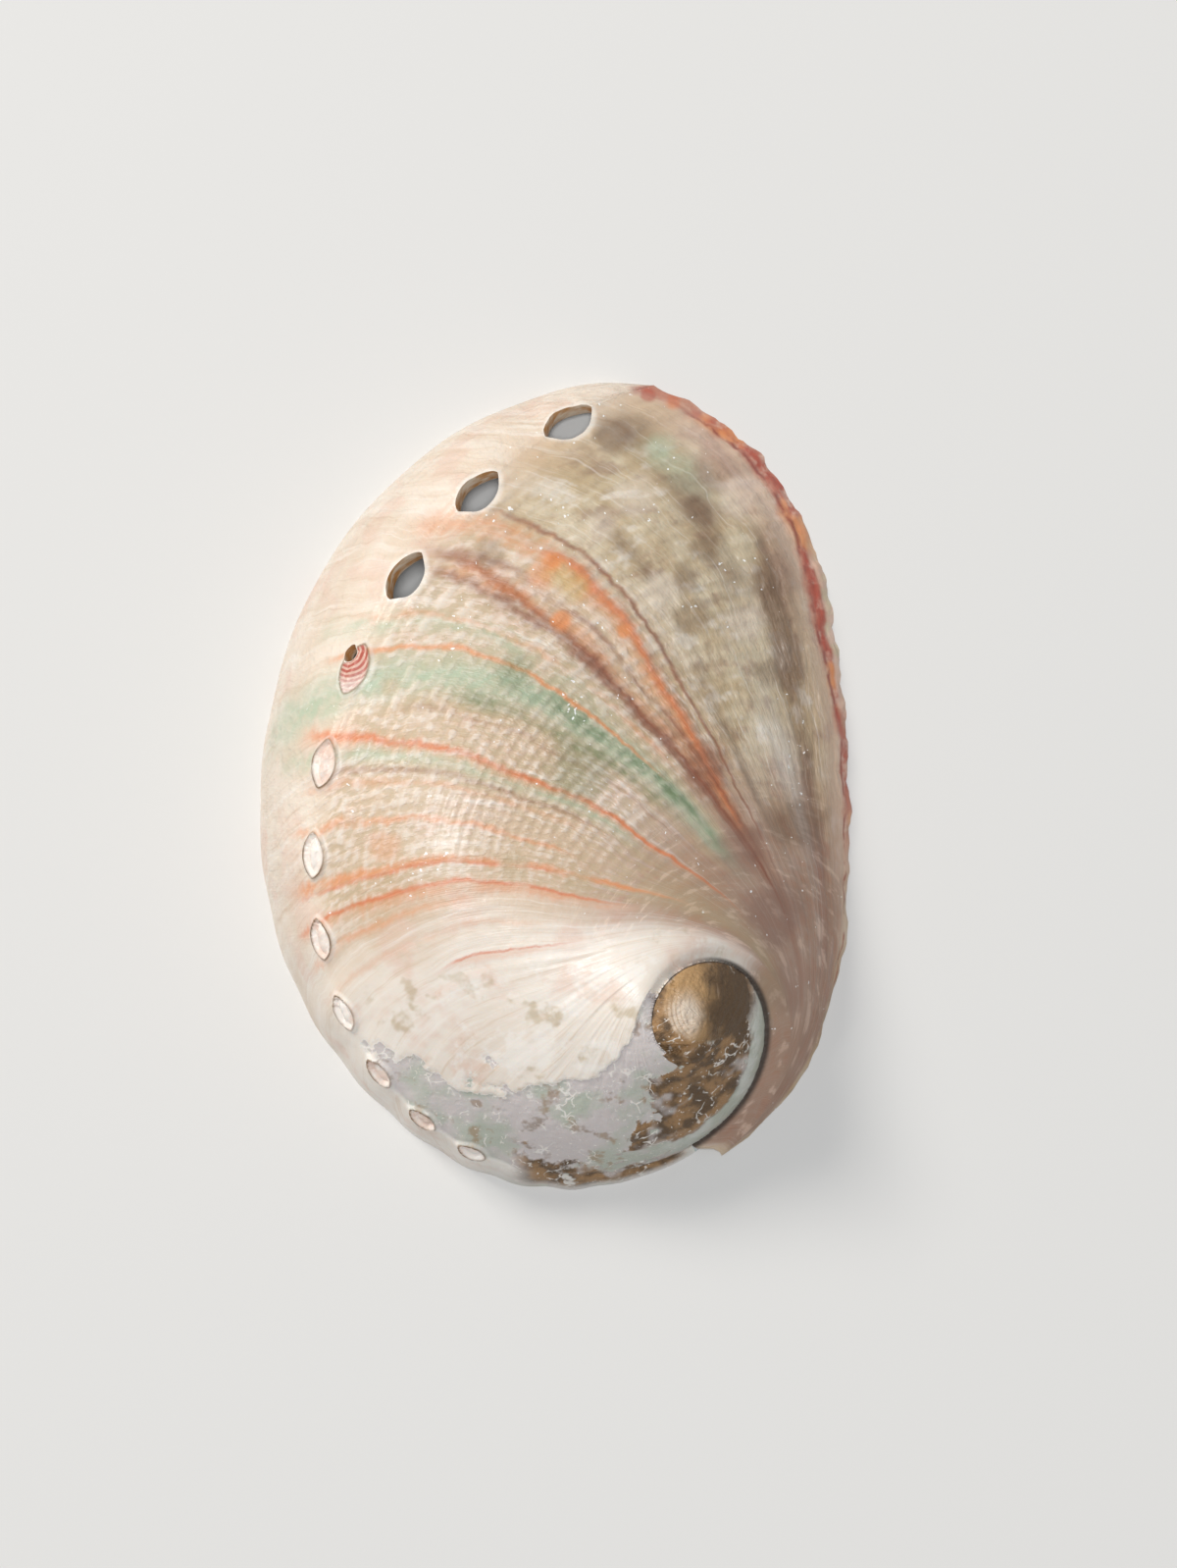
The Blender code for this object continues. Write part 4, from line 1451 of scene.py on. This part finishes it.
        # Painted glints: white specks of highlight, thickest in a small cluster.
        near = graph.length(graph.vectors("SUBTRACT", on.place, self.glint_cluster)).rise(0.0040, 0.0008)
        some = on.noise(110.0, 2.0).rise(0.48, 0.66) * 0.06
        glint = (on.noise(1500.0, 1.0) + near * 0.16 + some).rise(0.785, 0.800)
        on.lay(glint * aged.rise(104.0, 90.0) * share.rise(1.2, 1.0) * 0.85, self.glint)

    def across(self, aged: Wire, share: Wire, band: ColourBand) -> Wire:
        """How strongly a band covers a place.

        Args:
            aged: Aged growth.
            share: Share of the section.
            band: The band.

        Returns:
            1 on the band's curve, 0 past its width and its ends.
        """
        middle, half = 0.5 * (band.begin + band.end), 0.5 * (band.end - band.begin)
        inside = abs(share - middle).rise(half, half - self.end_fade)
        return aged.hump(band.centre(share), band.width) * inside

    def old_parts(self, on: Surface, worn: Wire, patch: Wire) -> None:
        """Mottled old part, worn grey layer, silvery band along the seam and brown patches.

        Args:
            on: The surface.
            worn: Where the outer layer has worn away.
            patch: Where the brown patches are.
        """
        graph, grown, share = on.graph, on.grown, on.share
        spots = on.noise(230.0, 3.0, 0.6).rise(0.57, 0.70) * grown.rise(96.0, 112.0)
        on.lay(spots * share.rise(1.0, 0.9) * 0.65, self.olive)
        on.lay(on.noise(190.0, 4.0, 0.65).rise(0.50, 0.62) * grown.rise(104.0, 120.0) * 0.7, self.milk)
        cloud = on.noise(120.0, 3.0, 0.6)
        stain = on.noise(330.0, 3.0, 0.6).rise(0.56, 0.66)
        snow = self.crackle(on)
        grey = graph.mix(cloud.rise(0.46, 0.62), self.lilac, self.sage)
        grey = graph.mix(stain * 0.6, grey, graph.mix(cloud.rise(0.4, 0.6), self.ring, self.tan))
        on.lay(worn, graph.mix(snow * 0.75, grey, self.milk))
        on.lay(worn * (1.0 - worn) * 4.0 * 0.6, self.milk)
        silvery = grown.rise(196.0, 214.0) * share.rise(0.60, 0.70) * share.rise(1.02, 1.0)
        silver = graph.mix(on.noise(200.0, 3.0).rise(0.4, 0.6), self.silver, self.sage)
        on.lay(silvery * worn * grown.rise(312.0, 286.0), silver)
        brown = graph.mix(on.noise(420.0, 3.0).rise(0.38, 0.62), self.bark, self.tan)
        brown = graph.mix(cloud.rise(0.52, 0.60) * 0.75, brown, graph.mix(stain, self.lilac, self.ring))
        on.lay(patch, graph.mix(snow * 0.85, brown, self.milk))

    @staticmethod
    def crackle(on: Surface) -> Wire:
        """White specks and short cracks.

        Args:
            on: The surface.

        Returns:
            The mask, 0 or 1.
        """
        graph = on.graph
        twist = graph.node("ShaderNodeTexNoise", None, {"Vector": on.place, "Scale": 500.0}, "Color")
        bent = graph.vectors("ADD", on.place, graph.scaled(twist, 0.0022))
        cracks = graph.cells(bent, 520.0, "DISTANCE_TO_EDGE").rise(0.07, 0.02)
        where = on.noise(300.0, 3.0, 0.65).rise(0.54, 0.62)
        return (cracks * where).largest(on.noise(1700.0, 2.0, 0.6).rise(0.66, 0.72))

    def knob(self, on: Surface) -> None:
        """The smooth honey-coloured first whorls, pale on the left and dark on the right, partly painted
        light and shade, with a painted cream highlight on the left.

        Args:
            on: The surface.
        """
        graph = on.graph
        x, y, _ = graph.parts(on.place)
        ragged = (on.noise(330.0, 3.0, 0.6) - 0.5) * 0.0022
        reach = graph.length(graph.vector(x - self.knob_centre[0], (y - self.knob_centre[1]) * 1.15))
        # Honey to dark brown from left to right: partly the whorls' own colour, partly painted shade on the
        # side away from the light.
        across = (x + (on.noise(260.0, 3.0, 0.6) - 0.5) * 0.007).rise(0.0168, 0.0212)
        tone = graph.mix(across, self.honey, self.bark)
        # Painted highlight: a cream pool of light on the left of the knob.
        light = graph.length(graph.vector((x - self.knob_light[0]) * 1.2, y - self.knob_light[1]))
        tone = graph.mix((light + ragged * 0.9).rise(0.0040, 0.0008) * 0.80, tone, self.cream)
        arcs = graph.length(graph.vector(x - self.arc_centre[0], y - self.arc_centre[1]))
        arcs = (arcs * (TURN / self.arc_step)).sine().rise(-0.2, 0.9) * (x + y * 0.3).rise(0.0085, 0.0065)
        inside = (reach + ragged).rise(0.0060, 0.0053) * on.grown.rise(236.0, 250.0)
        on.lay(inside, graph.mix(arcs * 0.45, tone, self.tan))

    def lip(self, on: Surface) -> None:
        """Red ragged border, pink behind it, and a thin pale fringe at the very edge of the right side.

        Args:
            on: The surface.
        """
        graph, grown, share = on.graph, on.grown, on.share
        ragged = (on.noise(260.0, 3.0, 0.6) - 0.5) * 2.4
        lumps = on.noise(330.0, 3.0, 0.6)
        at_edge = grown + ragged
        on_side, fringed = share.rise(0.98, 0.88), share.hump(0.52, 0.22)
        on.lay(at_edge.rise(9.0, 2.0) * share.rise(0.04, 0.3) * (on_side * 0.8 + 0.2) * 0.55, self.blush)
        centre = 0.6 + fringed * 1.3
        red = at_edge.hump(centre, 2.3) * share.rise(0.14, 0.34) * (on_side * 0.9 + 0.1)
        lively = graph.mix(lumps.rise(0.46, 0.66) * 0.8, self.red, self.blush)
        lively = graph.mix(on.noise(170.0, 2.0).rise(0.54, 0.66) * on_side, lively, self.orange)
        on.lay(red * 0.92, lively)
        thin = (grown + ragged * 0.35).hump(centre + 0.9, 0.55) * share.rise(0.03, 0.12) * on_side
        on.lay(thin * lumps.rise(0.40, 0.56) * 0.75, self.wine)
        outer = (grown + ragged * 0.4).rise(1.4, 0.7) * fringed
        on.lay(outer * 0.85, graph.mix(lumps.rise(0.4, 0.6), self.beige, self.blush))
        on.lay(share.rise(0.90, 0.98) * at_edge.rise(3.4, 1.2) * share.rise(1.24, 1.1) * 0.60, self.red)

    def holes(self, on: Surface, gap: Wire, seal: Wire, along: Wire) -> None:
        """Pale rims of the open holes, red crescents in the closing one, rings and plugs in the sealed.

        Args:
            on: The surface.
            gap: Millimetres out from the edge of the nearest hole.
            seal: 0 open, a half closing, 1 sealed.
            along: Millimetres from the last opening of the hole.
        """
        graph = on.graph
        is_open, is_sealed = seal.rise(0.3, 0.1), seal.rise(0.7, 0.9)
        closing = 1.0 - is_open - is_sealed
        inside = gap.rise(0.10, -0.10)
        cloud = on.noise(420.0, 2.0)
        on.lay(gap.rise(0.8, 0.1) * is_open * 0.55, self.milk)
        on.lay(inside * is_sealed * 0.95, graph.mix(cloud.rise(0.42, 0.66) * 0.7, self.pearl, self.blush))
        on.lay(gap.hump(0.0, 0.28) * is_sealed * (0.55 + 0.45 * on.noise(220.0).rise(0.4, 0.6)), self.ring)
        on.lay(gap.hump(0.45, 0.45) * (is_sealed + closing) * 0.35, self.milk)
        wave = ((along + (cloud - 0.5) * 0.6) * (TURN / self.crescent_step)).sine().rise(-0.5, 0.8)
        crescent = graph.mix(wave * 0.75, self.red, self.blush)
        crescent = graph.mix(along.rise(2.4, 4.6) * 0.6, crescent, self.pearl)
        on.lay(inside * closing * 0.95, crescent)
        on.lay(gap.hump(0.0, 0.30) * closing * 0.75, self.ring)

    def grain(self, on: Surface, worn: Wire, patch: Wire, weave: Wire) -> Wire:
        """Bump of fine growth lines and beads, and of the rough places.

        Args:
            on: The surface.
            worn: Where the outer layer has worn away.
            patch: Where the brown patches are.
            weave: The beads.

        Returns:
            The normal.
        """
        grown = on.grown
        fine = on.drawn_noise(grown * 2.2, on.share * 5.0, 4.0, 0.6)
        pits = on.graph.cells(on.place, 700.0).rise(0.30, 0.10)
        height = fine * (0.12 + 0.33 * grown.rise(112.0, 76.0)) + weave * grown.rise(100.0, 70.0) * 0.55
        height = height + on.noise(420.0, 3.0, 0.6) * 0.5
        height = height + (on.noise(1300.0, 4.0, 0.65) * 1.6 - pits * 0.6) * (patch + worn * 0.35)
        return on.graph.bump(height, 0.6, 0.00025)


@dataclass(frozen=True)
class NacreFinish:
    """Mother-of-pearl lining: silvery with green, rose and blue clouds, and a coloured margin."""

    silver: Colour = tint(214, 222, 220)
    green: Colour = tint(150, 200, 176)
    rose: Colour = tint(226, 176, 196)
    blue: Colour = tint(150, 186, 214)
    gold: Colour = tint(222, 206, 160)
    margin: Colour = tint(226, 178, 158)
    red: Colour = tint(190, 92, 74)

    def material(self) -> bpy.types.Material:
        """Build the finish.

        Returns:
            The material.
        """
        on = Surface("shell_nacre", self.silver)
        graph, grown, share = on.graph, on.grown, on.share
        swirl = on.noise(28.0, 4.0, 0.55, 1.2)
        ripple = on.drawn_noise(grown * 0.16 + swirl * 3.0, share * 1.6, 4.0, 0.6)
        on.colour = graph.node("ShaderNodeValToRGB", {"stops": (
            (0.26, self.blue), (0.38, self.green), (0.47, self.silver), (0.55, self.rose),
            (0.63, self.gold), (0.74, self.green))}, {"Fac": ripple * 0.75 + swirl * 0.45 - 0.1})
        on.lay(0.32, self.silver)
        at_edge = grown + (on.noise(170.0, 3.0) - 0.5) * 2.4
        border = at_edge.rise(8.5, 4.5) * share.rise(1.25, 0.98)
        on.lay(border * 0.9, self.margin)
        on.lay(at_edge.rise(3.4, 1.6) * share.rise(0.1, 0.3) * share.rise(1.05, 0.9) * 0.85, self.red)
        waves = on.drawn_noise(grown * 0.35, share * 3.0, 3.0)
        scar = on.noise(260.0, 3.0, 0.6) * share.hump(0.55, 0.2) * grown.hump(52.0, 26.0)
        return on.finish({
            "Roughness": 0.16 + on.noise(200.0, 2.0) * 0.14, "Metallic": 0.30 * (1.0 - border),
            "Normal": graph.bump(waves + scar * 0.8, 0.35, 0.0004),
            "Coat Weight": 0.6, "Coat Roughness": 0.08})


@dataclass(frozen=True)
class HoleWallFinish:
    """Cut thickness of the shell inside the breathing holes, tan going to pale in streaks."""

    tan: Colour = tint(204, 150, 92)
    pale: Colour = tint(236, 220, 198)

    def material(self) -> bpy.types.Material:
        """Build the finish.

        Returns:
            The material.
        """
        on = Surface("shell_hole_wall", self.tan)
        streak = on.graph.noise(on.graph.vectors("MULTIPLY", on.place, (1.0, 1.0, 3.0)), 420.0, 3.0, 0.6)
        on.lay(streak.rise(0.36, 0.66), self.pale)
        return on.finish({"Roughness": 0.30 + streak * 0.2, "Normal": on.graph.bump(streak, 0.4, 0.0002)})


@dataclass
class HoleRow:
    """The row of breathing holes: three open, one nearly closed, the older ones sealed."""

    wall: SideWall
    length: float = 0.0070
    width: float = 0.0043
    small_length: float = 0.0024
    small_width: float = 0.0018
    small_shift: tuple[float, float, float] = (0.0017, 0.0014, 0.0)
    sealed_length: float = 0.0066
    sealed_width: float = 0.0034
    open_count: int = 3
    sealed_count: int = 8
    upright: float = 0.6
    lean: float = 0.8
    sides: int = 64
    pointed: float = 0.55
    flare: tuple[tuple[float, float], ...] = (
        (0.006, 1.20), (0.0009, 1.10), (0.0002, 1.02), (-0.0005, 1.0), (-0.0022, 1.06), (-0.006, 1.3))
    far_gap: float = 50.0

    def holes(self) -> list[BreathingHole]:
        """The holes, newest first.

        Returns:
            One entry for each hole.
        """
        row = [BreathingHole(k, HoleState.OPEN, self.length, self.width) for k in range(self.open_count)]
        row.append(BreathingHole(self.open_count, HoleState.CLOSING, self.sealed_length, self.sealed_width))
        rate = self.wall.dome.rule.rate * self.wall.dome.hole_step
        for k in range(1, self.sealed_count):
            size = math.exp(-rate * k)
            row.append(BreathingHole(self.open_count + k, HoleState.SEALED, self.sealed_length * size,
                                     self.sealed_width * size))
        return row

    def frame_at(self, number: int) -> Matrix:
        """Matrix of a hole: X along the row towards the lip, Z out of the shell.

        Args:
            number: The hole's place in the row, from 0.

        Returns:
            The matrix.
        """
        dome, wall = self.wall.dome, self.wall
        rows = np.arange(wall.rows + 1)
        row = np.interp(number * dome.hole_step, -dome.angles[rows, -1], rows)
        i = int(row)
        share = row - i
        at = (1.0 - share) * wall.top[i] + share * wall.top[i + 1]
        normals = unit(dome.normals[rows, -1] + self.lean * wall.out)
        out = Vector((1.0 - share) * normals[i] + share * normals[i + 1])
        out = (out + Vector((0.0, 0.0, self.upright))).normalized()
        side = out.cross(Vector(wall.top[i] - wall.top[i + 1])).normalized()
        made = Matrix((side.cross(out), side, out)).transposed().to_4x4()
        made.translation = Vector(at)
        return made

    def outline(self, u: np.ndarray, v: np.ndarray) -> np.ndarray:
        """Size of the pointed oval through a place, 1 on the edge of the hole.

        Args:
            u: Place along the hole in half lengths.
            v: Place across it in half widths.

        Returns:
            The size, in shares of the hole's own.
        """
        lens = 0.5 * (np.abs(v) + np.sqrt(v * v + 4.0 * u * u))
        return self.pointed * lens + (1.0 - self.pointed) * np.hypot(u, v)

    def gaps(self, points: np.ndarray) -> tuple[np.ndarray, np.ndarray, np.ndarray]:
        """Where points lie in the nearest hole's oval.

        Args:
            points: Positions.

        Returns:
            Millimetres out from the oval's edge, the hole's state, and millimetres from its last opening.
        """
        gap = np.full(len(points), self.far_gap)
        seal, along = np.zeros(len(points)), np.zeros(len(points))
        for hole in self.holes():
            local = np.array(self.frame_at(hole.number).inverted())
            p = points @ local[:3, :3].T + local[:3, 3]
            u, v = p[:, 0] / (0.5 * hole.length), p[:, 1] / (0.5 * hole.width)
            q = self.outline(u, v)
            edge = np.hypot(p[:, 0], p[:, 1]) * (1.0 - 1.0 / np.maximum(q, 1e-6)) * 1000.0
            edge = np.maximum(edge, -500.0 * hole.width) + np.maximum(np.abs(p[:, 2]) - 0.004, 0.0) * 4000.0
            near = edge < gap
            gap = np.where(near, edge, gap)
            seal = np.where(near, hole.state.value, seal)
            last = p[:, :2] - np.array(self.small_shift[:2])
            along = np.where(near, np.linalg.norm(last, axis=1) * 1000.0, along)
        return gap, seal, along

    def plugs(self, finish: bpy.types.Material) -> bpy.types.Object:
        """One hidden object with a flared oval plug for each hole that goes through.

        Args:
            finish: Finish of the cut.

        Returns:
            The object.
        """
        mesh = bmesh.new()
        for hole in self.holes():
            if hole.state is HoleState.SEALED:
                continue
            frame_here, length, width = self.frame_at(hole.number), hole.length, hole.width
            if hole.state is HoleState.CLOSING:
                frame_here = frame_here @ Matrix.Translation(self.small_shift)
                length, width = self.small_length, self.small_width
            self.add_plug(mesh, frame_here, length, width)
        bmesh.ops.recalc_face_normals(mesh, faces=mesh.faces)
        data = bpy.data.meshes.new("hole_plugs")
        mesh.to_mesh(data)
        mesh.free()
        data.materials.append(finish)
        tool = add_object("hole_plugs", data)
        tool.hide_render = True
        tool.display_type = "WIRE"
        return tool

    def add_plug(self, mesh: bmesh.types.BMesh, place: Matrix, length: float, width: float) -> None:
        """Add an oval plug, wider at its mouth.

        Args:
            mesh: Where to add it.
            place: The hole's matrix.
            length: Length of the oval.
            width: Width of the oval.
        """
        rings = []
        for height, spread in self.flare:
            ring = []
            for k in range(self.sides):
                a = TURN * k / self.sides
                wobble = 1.0 + 0.03 * math.sin(3.0 * a + 1.0) + 0.02 * math.sin(5.0 * a)
                wobble /= float(self.outline(math.cos(a), math.sin(a)))
                point = Vector((0.5 * length * spread * wobble * math.cos(a),
                                0.5 * width * spread * wobble * math.sin(a), height))
                ring.append(mesh.verts.new(place @ point))
            rings.append(ring)
        for upper, lower in zip(rings[:-1], rings[1:]):
            for a, b, c, d in zip(upper, upper[1:] + upper[:1], lower[1:] + lower[:1], lower):
                mesh.faces.new((a, b, c, d))
        mesh.faces.new(rings[0])
        mesh.faces.new(rings[-1])


@dataclass
class AbaloneShell:
    """The whole shell as one closed piece."""

    rule: SpiralRule = field(default_factory=SpiralRule)
    relief: ReliefSizes = field(default_factory=ReliefSizes)
    stride: int = 3
    seam_reach: float = 0.2
    tip_rise: float = 0.0005
    weld: float = 0.000002
    refine_rounds: int = 2
    refine_gap: float = 1.3
    refine_length: float = 0.00042
    solver: str = "MANIFOLD"
    sharp_angle: float = math.radians(50.0)

    def __post_init__(self) -> None:
        """Grow the dome, its wall and its row of holes."""
        self.dome = Dome(self.rule)
        self.wall = SideWall(self.dome)
        self.holes = HoleRow(self.wall)

    def lining_points(self) -> np.ndarray:
        """Points of the inner dome: the outer ones moved in by the thickness.

        Returns:
            Rows of points, as in the dome.
        """
        dome, wall = self.dome, self.wall
        rows = np.arange(wall.rows + 1)
        normals = dome.normals[rows].copy()
        normals[:, -1] = unit(normals[:, -1] + self.holes.lean * wall.out)
        later = np.minimum(rows + dome.rows_to_seam, dome.rows_to_tip)
        at_seam = np.minimum(wall.thicknesses[rows], wall.thicknesses[later])
        share = smoothstep(0.0, self.seam_reach, dome.shares)[None, :]
        thickness = share * wall.thicknesses[rows, None] + (1.0 - share) * at_seam[:, None]
        points = dome.points[rows]
        near = np.exp(-points[..., 2] / thickness)[..., None]
        flat = normals * (1.0, 1.0, 0.0)
        length = np.maximum(np.linalg.norm(flat, axis=-1, keepdims=True), 1e-6)
        sideways = flat / length * (length * (1.0 - near) + np.maximum(length, 0.8) * near)
        upwards = normals * (0.0, 0.0, 1.0) * (1.0 - near)
        return points - thickness[..., None] * (sideways + upwards)

    def skin(self) -> Skin:
        """All the sheets of the shell and the strips between them.

        Returns:
            The collected faces.
        """
        dome, wall = self.dome, self.wall
        seam, last = dome.rows_to_seam, wall.rows
        grown = np.degrees(dome.grown)[:, None]
        shares = dome.shares
        coarse = slice(None, None, self.stride)
        inner = self.lining_points()
        skin = Skin()
        young = skin.add_grid(Sheet(dome.points[:seam + 1], grown[:seam + 1], shares))
        old = skin.add_grid(Sheet(dome.points[seam + 1:, coarse], grown[seam + 1:], shares[coarse]))
        skin.add_strip(young[-1], old[0])
        skin.add_grid(Sheet(inner[:, coarse], grown[:last + 1], shares[coarse], True))
        edge = skin.add_points(Sheet(dome.points[0], grown[0], shares))
        skin.add_strip(edge, skin.add_points(Sheet(inner[0, coarse], grown[0], shares[coarse])))

        free, covered = wall.outside(inner[:, 0])
        down = np.linspace(1.0, 1.3, wall.columns + 1)
        skin.add_grid(Sheet(free, grown[:seam + 1], down))
        skin.add_grid(Sheet(covered, grown[seam:last + 1], down, True))
        ledge = wall.inside(inner[:, -1])
        skin.add_grid(Sheet(ledge, grown[:last + 1], np.linspace(1.3, 1.0, ledge.shape[1]), True))
        corner = np.array((free[-1, 0], covered[0, 0], covered[0, 1]))
        skin.add_face(Sheet(corner, grown[seam], np.ones(3)))
        cap = np.concatenate((covered[-1], ledge[-1, 1:]))
        skin.add_face(Sheet(cap, grown[last], np.ones(len(cap)), True))
        self.close_tips(skin, inner)
        return skin

    def close_tips(self, skin: Skin, inner: np.ndarray) -> None:
        """Close the first whorl from above and the hollow of the spire from below.

        Args:
            skin: Where to add the faces.
            inner: Points of the inner dome.
        """
        dome, last = self.dome, self.wall.rows
        rise = self.tip_rise * self.rule.axis
        grown = np.degrees(dome.grown)
        ceiling = np.vstack((inner[last - dome.rows_to_seam:last, 0], inner[-1, ::self.stride]))
        skin.add_fan(ceiling, rise, grown[last], True)
        first = dome.points[-1 - dome.rows_to_seam:-1, 0]
        skin.add_fan(np.vstack((first, dome.points[-1, :-1:self.stride])), rise, grown[-1], False)

    def refine(self, mesh: bmesh.types.BMesh) -> None:
        """Split the long edges round the holes, where the relief is finest.

        Args:
            mesh: The mesh to change.
        """
        for _ in range(self.refine_rounds):
            middles = np.array([(e.verts[0].co + e.verts[1].co) * 0.5 for e in mesh.edges])
            gaps = self.holes.gaps(middles)[0]
            long = [e for e, gap in zip(mesh.edges, gaps)
                    if gap < self.refine_gap and e.calc_length() > self.refine_length]
            bmesh.ops.subdivide_edges(mesh, edges=long, cuts=1, use_grid_fill=True)

    def build(self, outside: bpy.types.Material, lining: bpy.types.Material,
              hole_wall: bpy.types.Material) -> bpy.types.Object:
        """Make the finished piece.

        Args:
            outside: Finish of the outside.
            lining: Finish of the inside.
            hole_wall: Finish inside the breathing holes.

        Returns:
            The shell as a plain mesh object.
        """
        data = self.skin().mesh("shell_skin")
        mesh = bmesh.new()
        mesh.from_mesh(data)
        bmesh.ops.remove_doubles(mesh, verts=mesh.verts, dist=self.weld)
        bmesh.ops.dissolve_degenerate(mesh, edges=mesh.edges, dist=0.5 * self.weld)
        self.refine(mesh)
        bmesh.ops.triangulate(mesh, faces=mesh.faces)
        bmesh.ops.recalc_face_normals(mesh, faces=mesh.faces)
        inner = mesh.verts.layers.float["inner"]
        lined = [all(v[inner] > 0.5 for v in f.verts) for f in mesh.faces]
        mesh.to_mesh(data)
        mesh.free()
        data.attributes.new("inner_face", "BOOLEAN", "FACE").data.foreach_set("value", lined)
        points = np.empty(len(data.vertices) * 3)
        data.vertices.foreach_get("co", points)
        values = self.holes.gaps(points.reshape(-1, 3))
        for name, value in zip(("hole_gap", "hole_seal", "hole_along"), values):
            write_attribute(data, name, value)
        data.shade_smooth()

        raw = add_object("shell_skin", data)
        tree = ReliefTree(self.relief, outside, lining)
        add_tree(raw, tree.tree, tree.sizes)
        plugs = self.holes.plugs(hole_wall)
        cut = raw.modifiers.new("breathing_holes", "BOOLEAN")
        cut.operation = "DIFFERENCE"
        cut.solver = self.solver
        cut.object = plugs
        if hasattr(cut, "material_mode"):
            cut.material_mode = "TRANSFER"
        finished = bake(raw)
        for spent in (raw, plugs):
            bpy.data.objects.remove(spent)
        finished.name = "abalone_shell"
        finished.set_sharp_from_angle(angle=self.sharp_angle)
        shell = add_object("abalone_shell", finished)
        LOG.info("abalone_shell: %d points, %d faces", len(finished.vertices), len(finished.polygons))
        return shell


@dataclass(frozen=True)
class FloorFinish:
    """Plain pale surface under the shell."""

    colour: Colour = tint(216, 215, 213)
    roughness: float = 0.85

    def material(self) -> bpy.types.Material:
        """Build the finish.

        Returns:
            The material.
        """
        made = bpy.data.materials.new("pale_floor")
        made.use_nodes = True
        shader = made.node_tree.nodes["Principled BSDF"]
        shader.inputs["Base Color"].default_value = self.colour
        shader.inputs["Roughness"].default_value = self.roughness
        return made


@dataclass(frozen=True)
class SoftLight:
    """A square light that faces the shell."""

    name: str
    place: tuple[float, float, float]
    power: float
    size: float
    colour: tuple[float, float, float]

    def build(self) -> None:
        """Add the light."""
        data = bpy.data.lights.new(self.name, "AREA")
        data.energy = self.power
        data.size = self.size
        data.color = self.colour
        light = add_object(self.name, data)
        light.location = self.place
        light.rotation_euler = (-Vector(self.place)).to_track_quat("-Z", "Y").to_euler()


@dataclass
class Studio:
    """Pale floor, soft light from the upper left, and the photo's view from straight above."""

    floor_size: float = 6.0
    view_centre: tuple[float, float] = (0.00413, 0.00029)
    view_height: float = 0.1958
    lens: float = 400.0
    sensor: float = 36.0
    mean_height: float = 0.008
    clip_end: float = 20.0
    lights: tuple[SoftLight, ...] = (
        SoftLight("key_light", (-1.15, 0.95, 1.05), 21.5, 0.55, (1.0, 0.965, 0.91)),
        SoftLight("top_light", (-0.05, 0.08, 2.9), 43.0, 0.5, (0.98, 0.99, 1.0)))
    world: Colour = (0.93, 0.96, 1.0, 1.0)
    world_strength: float = 0.27

    def build(self) -> None:
        """Add floor, lights, world and camera, and show colours as they are."""
        self.add_floor()
        for light in self.lights:
            light.build()
        world = bpy.data.worlds.new("soft_room")
        world.use_nodes = True
        sky = world.node_tree.nodes["Background"]
        sky.inputs["Color"].default_value = self.world
        sky.inputs["Strength"].default_value = self.world_strength
        bpy.context.scene.world = world
        bpy.context.scene.view_settings.view_transform = "Standard"
        self.add_camera()

    def add_floor(self) -> None:
        half = 0.5 * self.floor_size
        mesh = bpy.data.meshes.new("floor")
        mesh.from_pydata([(-half, -half, 0.0), (half, -half, 0.0), (half, half, 0.0), (-half, half, 0.0)],
                         [], [(0, 1, 2, 3)])
        mesh.materials.append(FloorFinish().material())
        add_object("floor", mesh)

    def add_camera(self) -> None:
        """Add the camera, straight above and far away, with the photo's frame."""
        data = bpy.data.cameras.new("camera")
        data.lens = self.lens
        data.sensor_width = self.sensor
        data.clip_end = self.clip_end
        camera = add_object("camera", data)
        distance = self.view_height * self.lens / self.sensor
        camera.location = (*self.view_centre, self.mean_height + distance)
        bpy.context.scene.camera = camera


def main() -> None:
    """Build the shell and its stage."""
    logging.basicConfig(level=logging.INFO, format="%(message)s")
    shell = AbaloneShell().build(
        OutsideFinish().material(), NacreFinish().material(), HoleWallFinish().material())
    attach(shell, "root")
    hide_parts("shell")
    Studio().build()


if __name__ == "__main__":
    main()
